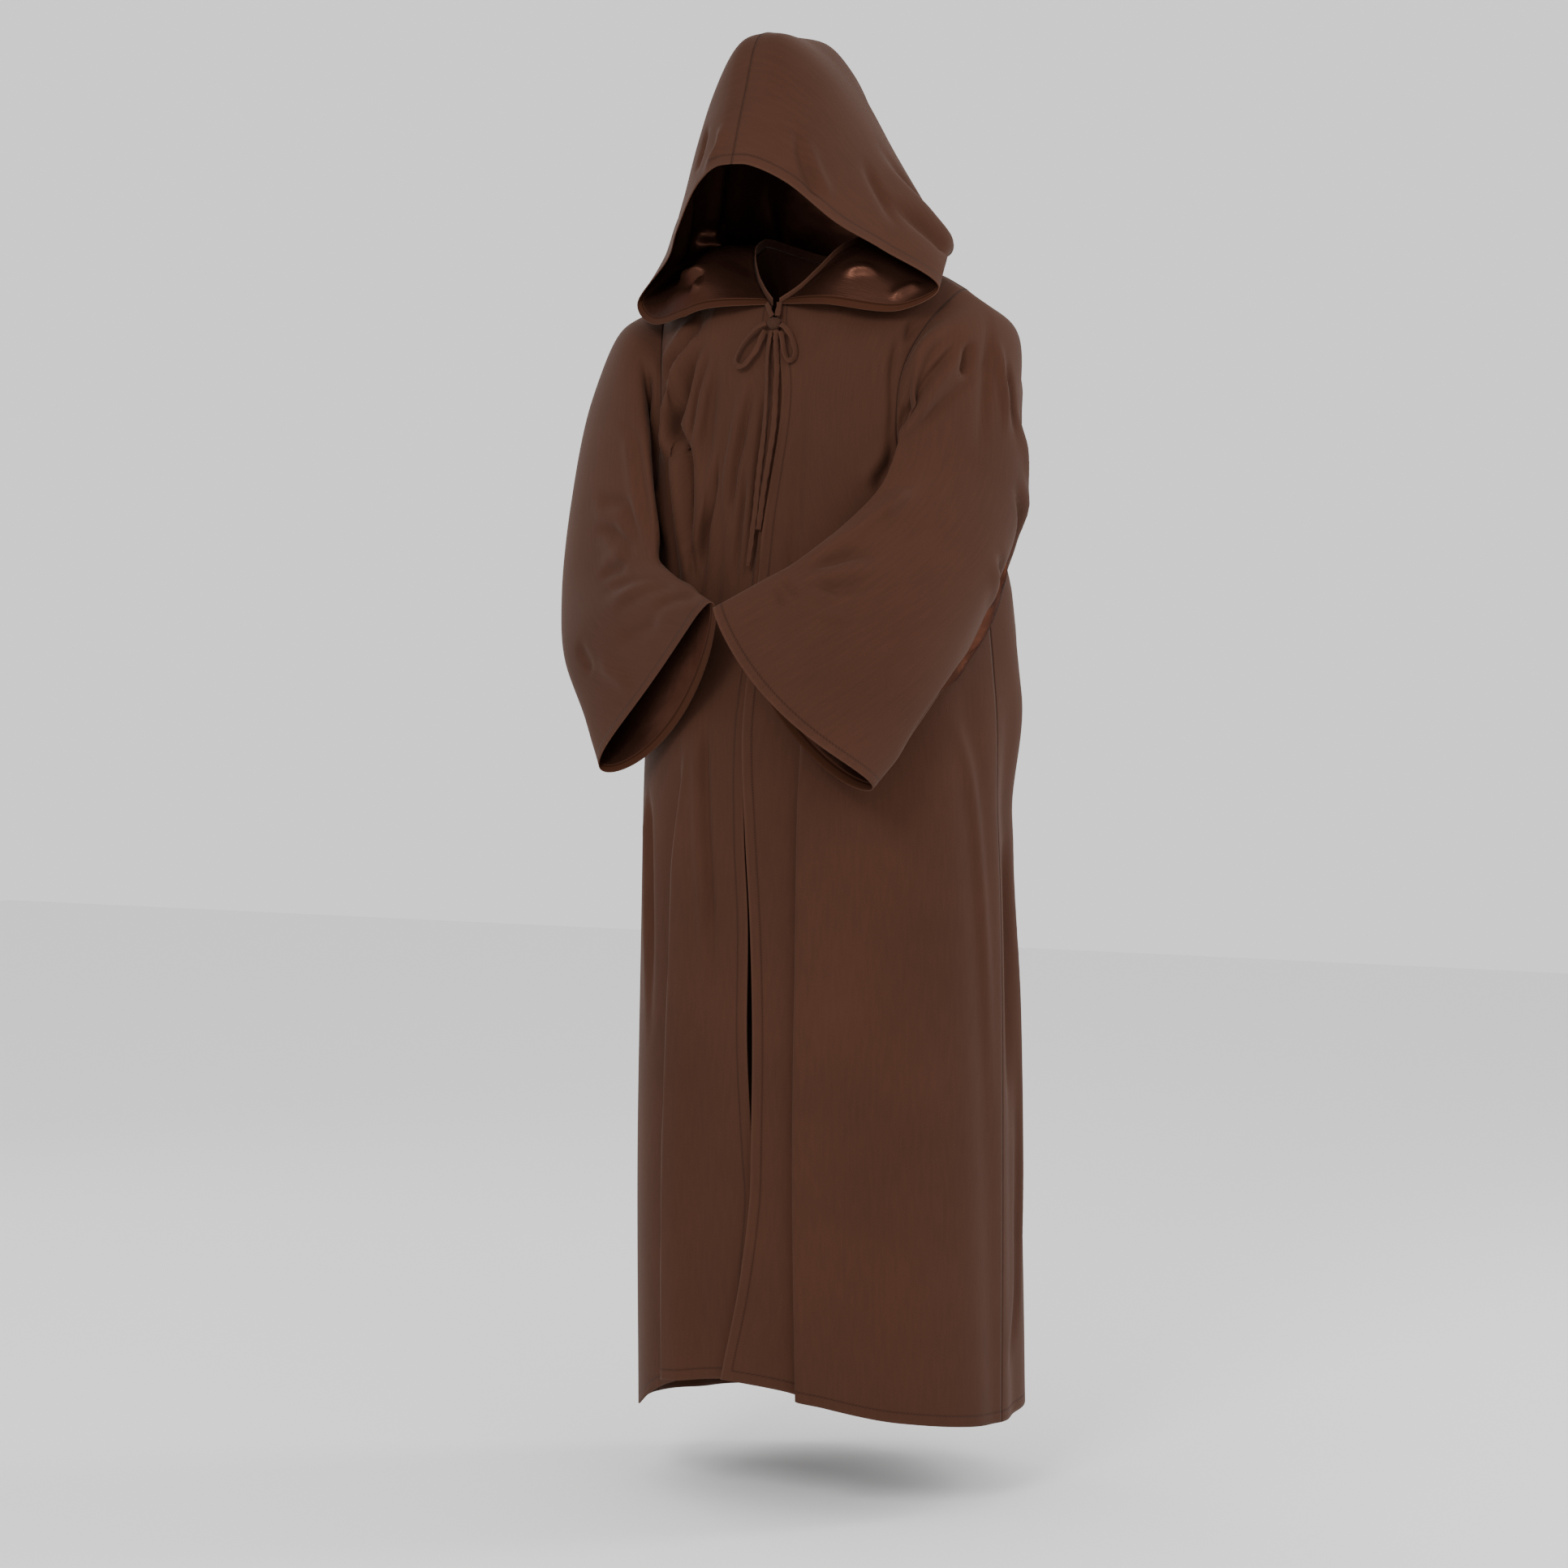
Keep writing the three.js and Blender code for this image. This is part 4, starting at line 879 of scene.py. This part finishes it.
class Cloth:
    """A procedural finish: a material with its own node tree."""

    def __init__(self, name):
        self.material = bpy.data.materials.new(name)
        self.material.use_nodes = True
        self.tree = self.material.node_tree
        self.shader = self.tree.nodes["Principled BSDF"]

    def node(self, kind, settings=None, inputs=None, output=0):
        made = self.tree.nodes.new(kind)
        for key, value in (settings or {}).items():
            setattr(made, key, value)
        for key, value in (inputs or {}).items():
            self.connect(value, made.inputs[key])
        return Wire(self, made.outputs[output])

    def connect(self, value, socket):
        if isinstance(value, Wire):
            self.tree.links.new(value.output, socket)
        else:
            socket.default_value = value

    def set(self, **values):
        for key, value in values.items():
            self.connect(value, self.shader.inputs[key.replace("_", " ")])

    def mix(self, share, first, second):
        inputs = {0: share, 6: first, 7: second}
        return self.node("ShaderNodeMix", {"data_type": "RGBA"}, inputs, output=2)

    def noise(self, place, scale, detail):
        return self.node("ShaderNodeTexNoise", inputs={"Vector": place, "Scale": scale, "Detail": detail})

    def threads(self, uv, across, down):
        """Noise that is drawn out along one way of the cloth."""
        drawn_out = self.node("ShaderNodeMapping", inputs={"Vector": uv, "Scale": (across, down, 1.0)})
        return self.noise(drawn_out, 1.0, 2.0)

    def distance_to(self, name):
        return self.node("ShaderNodeAttribute", {"attribute_name": name}, output=2)

    def below(self, value, low, high):
        """1 below the low value and 0 above the high one, with a smooth step between."""
        return self.node("ShaderNodeMapRange", {"interpolation_type": "SMOOTHSTEP"}, {
            "Value": value, "From Min": low, "From Max": high, "To Min": 1.0, "To Max": 0.0})

    def bump(self, height, strength, distance):
        return self.node("ShaderNodeBump", inputs={
            "Height": height, "Strength": strength, "Distance": distance})


print("a wire adds Math nodes, and a cloth adds every other node")

# %% [markdown]
# The weave reads the piece's own UV map, which is in metres, so its slanted ribs are 1.1 and 1.5 mm
# apart everywhere. The hem attribute draws the stitched line of the hem, darkened by painted shade
# where it sinks, and the lighter folded edge, which is partly wear and partly a painted highlight.
# The seam attribute darkens the seams by painted shade in their grooves. Slow noise on Object
# coordinates gives the cloth its unevenness, as light and dark patches a hand wide.

# %% Finish of the brown cloth
CLOTH_COLOUR = (0.057, 0.0218, 0.0122, 1)
CLOTH_DARK = (0.035, 0.0130, 0.0072, 1)
# Lighter colour of the folded edge: partly wear, partly a painted highlight along the fold.
CLOTH_WORN_AND_HIGHLIT = (0.087, 0.037, 0.022, 1)
# Darkening of stitched lines and seams: painted shade where they sink into the cloth.
STITCH_AND_SEAM_PAINTED_SHADE = (0.016, 0.0060, 0.0034, 1)
SATIN_COLOUR = (0.070, 0.030, 0.020, 1)
HEM_TURNED_IN = (0.040, 0.0152, 0.0086, 1)
SATIN_DARK = (0.034, 0.0132, 0.0084, 1)
SATIN_GLOSS = (0.22, 0.115, 0.085, 1)
SHEEN_TINT = (0.75, 0.55, 0.45, 1)
RIB_SLANT = 0.55
RIB_PITCH = 0.0013
CROSS_RIB_PITCH = 0.0017
STITCH_PITCH = 0.0036
STITCH_WIDTH = 0.0014
# Width of the lighter folded edge, which is partly wear and partly a painted highlight.
WORN_AND_HIGHLIT_WIDTH = 0.0022
SEAM_WIDTH = 0.0016


def brown_cloth(name, hem_width):
    cloth = Cloth(name)
    uv = cloth.node("ShaderNodeUVMap", {"uv_map": "cloth"})
    split = cloth.node("ShaderNodeSeparateXYZ", inputs={0: uv}).output.node
    u, v = Wire(cloth, split.outputs[0]), Wire(cloth, split.outputs[1])
    patches = cloth.noise(cloth.node("ShaderNodeTexCoord", output=3), 5.0, 3.0)
    crepe = cloth.noise(uv, 650.0, 2.0)
    slub = cloth.threads(uv, 260.0, 26.0)
    pucker = cloth.noise(uv, 95.0, 1.0)
    rib = ((u + v * RIB_SLANT).wave(RIB_PITCH) * 0.5
           + (u * RIB_SLANT - v).wave(CROSS_RIB_PITCH) * 0.25)
    hem = cloth.distance_to("hem")
    stitch = hem.band(hem_width, STITCH_WIDTH)
    # The stitched line darkens the colour in dashes: painted shade where the stitch sinks, broken like
    # thread.
    stitch_dashes_and_painted_shade = stitch * ((u - v).wave(STITCH_PITCH) * 0.35 + 0.65)
    edge = hem.band(0, WORN_AND_HIGHLIT_WIDTH)
    doubled = cloth.below(hem, hem_width - 0.0005, hem_width + 0.0018)
    # Seams darken the colour: painted shade in their sunk grooves.
    seam_groove_and_painted_shade = cloth.distance_to("seam").band(0, SEAM_WIDTH)
    shade = (patches - 0.5) * 0.9 + (slub - 0.5) * 0.5 + (crepe - 0.5) * 0.6 + rib * 0.05 + 0.45
    base = cloth.mix(shade, CLOTH_DARK, CLOTH_COLOUR)
    # The folded edge is made lighter: partly wear, partly a painted highlight along the fold.
    worn_and_highlit = cloth.mix(edge * 0.35, base, CLOTH_WORN_AND_HIGHLIT)
    base_colour = cloth.mix(stitch_dashes_and_painted_shade * 0.75 + seam_groove_and_painted_shade * 0.5, worn_and_highlit, STITCH_AND_SEAM_PAINTED_SHADE)
    relief = (rib * 0.10 + crepe * 0.35 + slub * 0.25 - stitch_dashes_and_painted_shade * 1.4 + doubled * 1.6
              + doubled * pucker * 1.4 - seam_groove_and_painted_shade * 2.5)
    cloth.set(Base_Color=base_colour, Normal=cloth.bump(relief, 0.5, 0.0008),
              Roughness=0.8 + (crepe - 0.5) * 0.12 - edge * 0.08, Specular_IOR_Level=0.10,
              Sheen_Weight=0.06, Sheen_Roughness=0.5, Sheen_Tint=SHEEN_TINT)
    print("finish", name, "has", len(cloth.tree.nodes), "nodes")
    return cloth.material


# The second value is where the hem's stitched line runs. On the tie it lies off the cloth.
BODY_CLOTH = brown_cloth("body_cloth", 0.0135)
SLEEVE_CLOTH = brown_cloth("sleeve_cloth", 0.0115)
HOOD_CLOTH = brown_cloth("hood_cloth", 0.0125)
TIE_CLOTH = brown_cloth("tie_cloth", 0.5)


def satin_cloth(name, hem_width):
    """The smooth shiny back of the cloth. The hem turns the matt face inwards along its edge."""
    cloth = Cloth(name)
    uv = cloth.node("ShaderNodeUVMap", {"uv_map": "cloth"})
    threads = cloth.threads(uv, 900.0, 60.0)
    waves = cloth.noise(uv, 18.0, 2.0)
    hem = cloth.distance_to("hem")
    turned = cloth.below(hem, hem_width - 0.0006, hem_width + 0.0006)
    stitch = hem.band(hem_width - 0.0020, 0.0012)
    shine = 1.0 - turned
    colour = cloth.mix(turned, cloth.mix(waves, SATIN_COLOUR, SATIN_DARK), HEM_TURNED_IN)
    # The stitched line darkens the colour: painted shade where the stitch sinks.
    stitched_with_painted_shade = cloth.mix(stitch * 0.7, colour, STITCH_AND_SEAM_PAINTED_SHADE)
    relief = shine * waves * 2.6 + shine * threads * 0.25 + turned * 0.7 - stitch * 0.6
    cloth.set(Base_Color=stitched_with_painted_shade, Normal=cloth.bump(relief, 0.6, 0.0015),
              Roughness=0.30 + threads * 0.10 + turned * 0.45, Metallic=shine * 0.72,
              Specular_IOR_Level=0.1, Specular_Tint=SATIN_GLOSS, Anisotropic=0.4)
    print("finish", name, "has", len(cloth.tree.nodes), "nodes")
    return cloth.material


SATIN_BACK = satin_cloth("satin_back", 0.0125)

# %% [markdown]
# A finished sheet gets its wall from Solidify, which moves the grid half a thickness each way and
# closes its edges. It then rides on the body and stands for its stiff node.


# %% Thin cloth on a grid
CLOTH_THICKNESS = 0.0012


def cloth_piece(name, node, cloths, edges, flat, area):
    points, kind = grids[name], name.split("_")[0]
    seam = edge_distance(points, SEAMS[kind]) if kind in SEAMS else None
    piece = grid_mesh(name + "_cloth", points, is_tube(name), edge_distance(points, edges), seam,
                      name in OUTWARD_LEFT)
    for cloth in cloths:
        piece.data.materials.append(cloth)
    wall = piece.modifiers.new("wall", "SOLIDIFY")
    wall.thickness, wall.offset = CLOTH_THICKNESS, 0
    wall.material_offset = len(cloths) - 1
    bpy.context.view_layer.objects.active = piece
    bpy.ops.object.modifier_apply(modifier=wall.name)
    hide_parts(node)
    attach(piece, "root")
    print(piece.name, "has", len(piece.data.polygons), "faces")


def sheet_area(points, closed=False):
    """The area of a grid in square metres."""
    ring = np.concatenate([points, points[:1]]) if closed else points
    a, b, c, d = ring[:-1, :-1], ring[1:, :-1], ring[1:, 1:], ring[:-1, 1:]
    halves = np.linalg.norm(np.cross(b - a, c - a), axis=2) + np.linalg.norm(np.cross(c - a, d - a), axis=2)
    return float(halves.sum() / 2)


def longest_runs(points, closed=False):
    """The longest way across and the longest way down a grid, in metres."""
    ring = np.concatenate([points, points[:1]]) if closed else points
    across = np.linalg.norm(np.diff(ring, axis=0), axis=2).sum(0).max()
    down = np.linalg.norm(np.diff(points, axis=1), axis=2).sum(1).max()
    return round(float(across), 3), round(float(down), 3)


grids["band"] = band
for name, points in grids.items():
    closed = is_tube(name)
    print(name, "area", round(sheet_area(points, closed), 3), "runs", *longest_runs(points, closed))

# %% [markdown]
# The flat size and the area are those of the whole cut: the runs and the area of the built sheet as
# the last cell prints them, with 12 to 15 mm more at each hemmed edge.

# %% Fronts, back, sleeves, hood and neck band
# The grid, its node, its face and back, its hemmed edges, its flat size and its area with hems.
SHEETS = [
    ("front_left", "front_left", [BODY_CLOTH], ["first_column", "last_row"], (0.44, 1.55), 0.50),
    ("front_right", "front_right", [BODY_CLOTH], ["first_column", "last_row"], (0.42, 1.605), 0.51),
    ("back", "back_panel", [BODY_CLOTH], ["last_row"], (0.82, 1.575), 1.00),
    ("sleeve_left", "sleeve_left", [SLEEVE_CLOTH, SATIN_BACK], ["last_row"], (0.87, 0.76), 0.315),
    ("sleeve_right", "sleeve_right", [SLEEVE_CLOTH, SATIN_BACK], ["last_row"], (0.86, 0.73), 0.33),
    ("hood_left", "hood_left", [HOOD_CLOTH, SATIN_BACK], ["first_column"], (0.387, 0.545), 0.163),
    ("hood_right", "hood_right", [HOOD_CLOTH, SATIN_BACK], ["first_column"], (0.39, 0.575), 0.173),
    ("band", "neck_band", [TIE_CLOTH], ["last_row"], (0.59, 0.012), None)]
for sheet in SHEETS:
    cloth_piece(*sheet)

# %% [markdown]
# The knot is a ball that is drawn in along a slanted groove, so that it reads as cloth wound round.

# %% Knot of the tie
KNOT_SIZE = [0.019, 0.013, 0.017]
KNOT_PLACE = [0.009, -0.1388, -0.027]
GROOVE_DEPTH = 0.09
GROOVE_ACROSS = 9
GROOVE_UP = 7
GROOVE_START = 0.6
bpy.ops.object.select_all(action="DESELECT")
bpy.ops.mesh.primitive_uv_sphere_add(segments=48, ring_count=32, radius=0.5, location=(0, 0, 0))
knot = bpy.context.active_object
knot.name = "tie_knot_cloth"
knot_points = np.array([v.co for v in knot.data.vertices])
swirl = np.sin(knot_points[:, 0] * GROOVE_ACROSS + knot_points[:, 2] * GROOVE_UP + GROOVE_START)
knot_points *= (1 - GROOVE_DEPTH * swirl ** 2)[:, None]
knot_points = knot_points * KNOT_SIZE + KNOT_PLACE
knot.data.vertices.foreach_set("co", knot_points.reshape(-1))
knot.data.uv_layers[0].name = "cloth"
knot.data.materials.append(TIE_CLOTH)
bpy.ops.object.shade_smooth()
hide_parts("tie_knot")
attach(knot, "root")
print("knot faces:", len(knot.data.polygons))

for tie_name, (piece, path) in tie_pieces.items():
    piece.data.materials.append(TIE_CLOTH)
    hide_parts(tie_name)
    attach(piece, "root")
    if "root" not in tie_name:
        path_length(path)
        "object" if "loop" in tie_name else "bare"
    print(tie_name, "is declared")

# %% [markdown]
# The studio is white: a pale floor, a bright even surround, a soft key light in front, a weaker
# fill at the robe's left, and two strips behind, one each side, which draw the bright rims along the
# sleeves. The hem hangs about 80 mm above the floor.

# %% Floor and lights
FLOOR_LEVEL = -1.5
SURROUND_STRENGTH = 1.15
bpy.ops.object.select_all(action="DESELECT")
bpy.ops.mesh.primitive_plane_add(size=14, location=(0, 0, FLOOR_LEVEL))
floor = bpy.context.active_object
floor.name = "studio_floor"
floor_paint = Cloth("floor_paint")
floor_paint.set(Base_Color=(0.86, 0.86, 0.86, 1), Roughness=0.9)
floor.data.materials.append(floor_paint.material)


def area_light(name, place, target, size, power):
    data = bpy.data.lights.new(name, "AREA")
    data.shape, data.size, data.size_y, data.energy = "RECTANGLE", size[0], size[1], power
    lamp = bpy.data.objects.new(name, data)
    bpy.context.scene.collection.objects.link(lamp)
    lamp.location = place
    lamp.rotation_euler = (Vector(target) - Vector(place)).to_track_quat("-Z", "Y").to_euler()
    return lamp


area_light("key_light", (0.5, -3.8, 1.5), (0, 0, -0.4), (1.2, 1.2), 98)
area_light("fill_light", (3.2, -2.4, 0.6), (0, 0, -0.6), (2.2, 2.6), 42)
area_light("rim_light_left", (2.4, 2.0, 0.8), (0, 0, -0.3), (0.8, 2.6), 54)
area_light("rim_light_right", (-2.6, 1.2, 0.8), (0, 0, -0.3), (0.8, 2.6), 12)
world = bpy.data.worlds.new("studio_surround")
world.use_nodes = True
surround = world.node_tree.nodes["Background"]
surround.inputs["Color"].default_value = (1, 1, 1, 1)
surround.inputs["Strength"].default_value = SURROUND_STRENGTH
bpy.context.scene.world = world

# %% The frame's last line
bpy.context.view_layer.update()
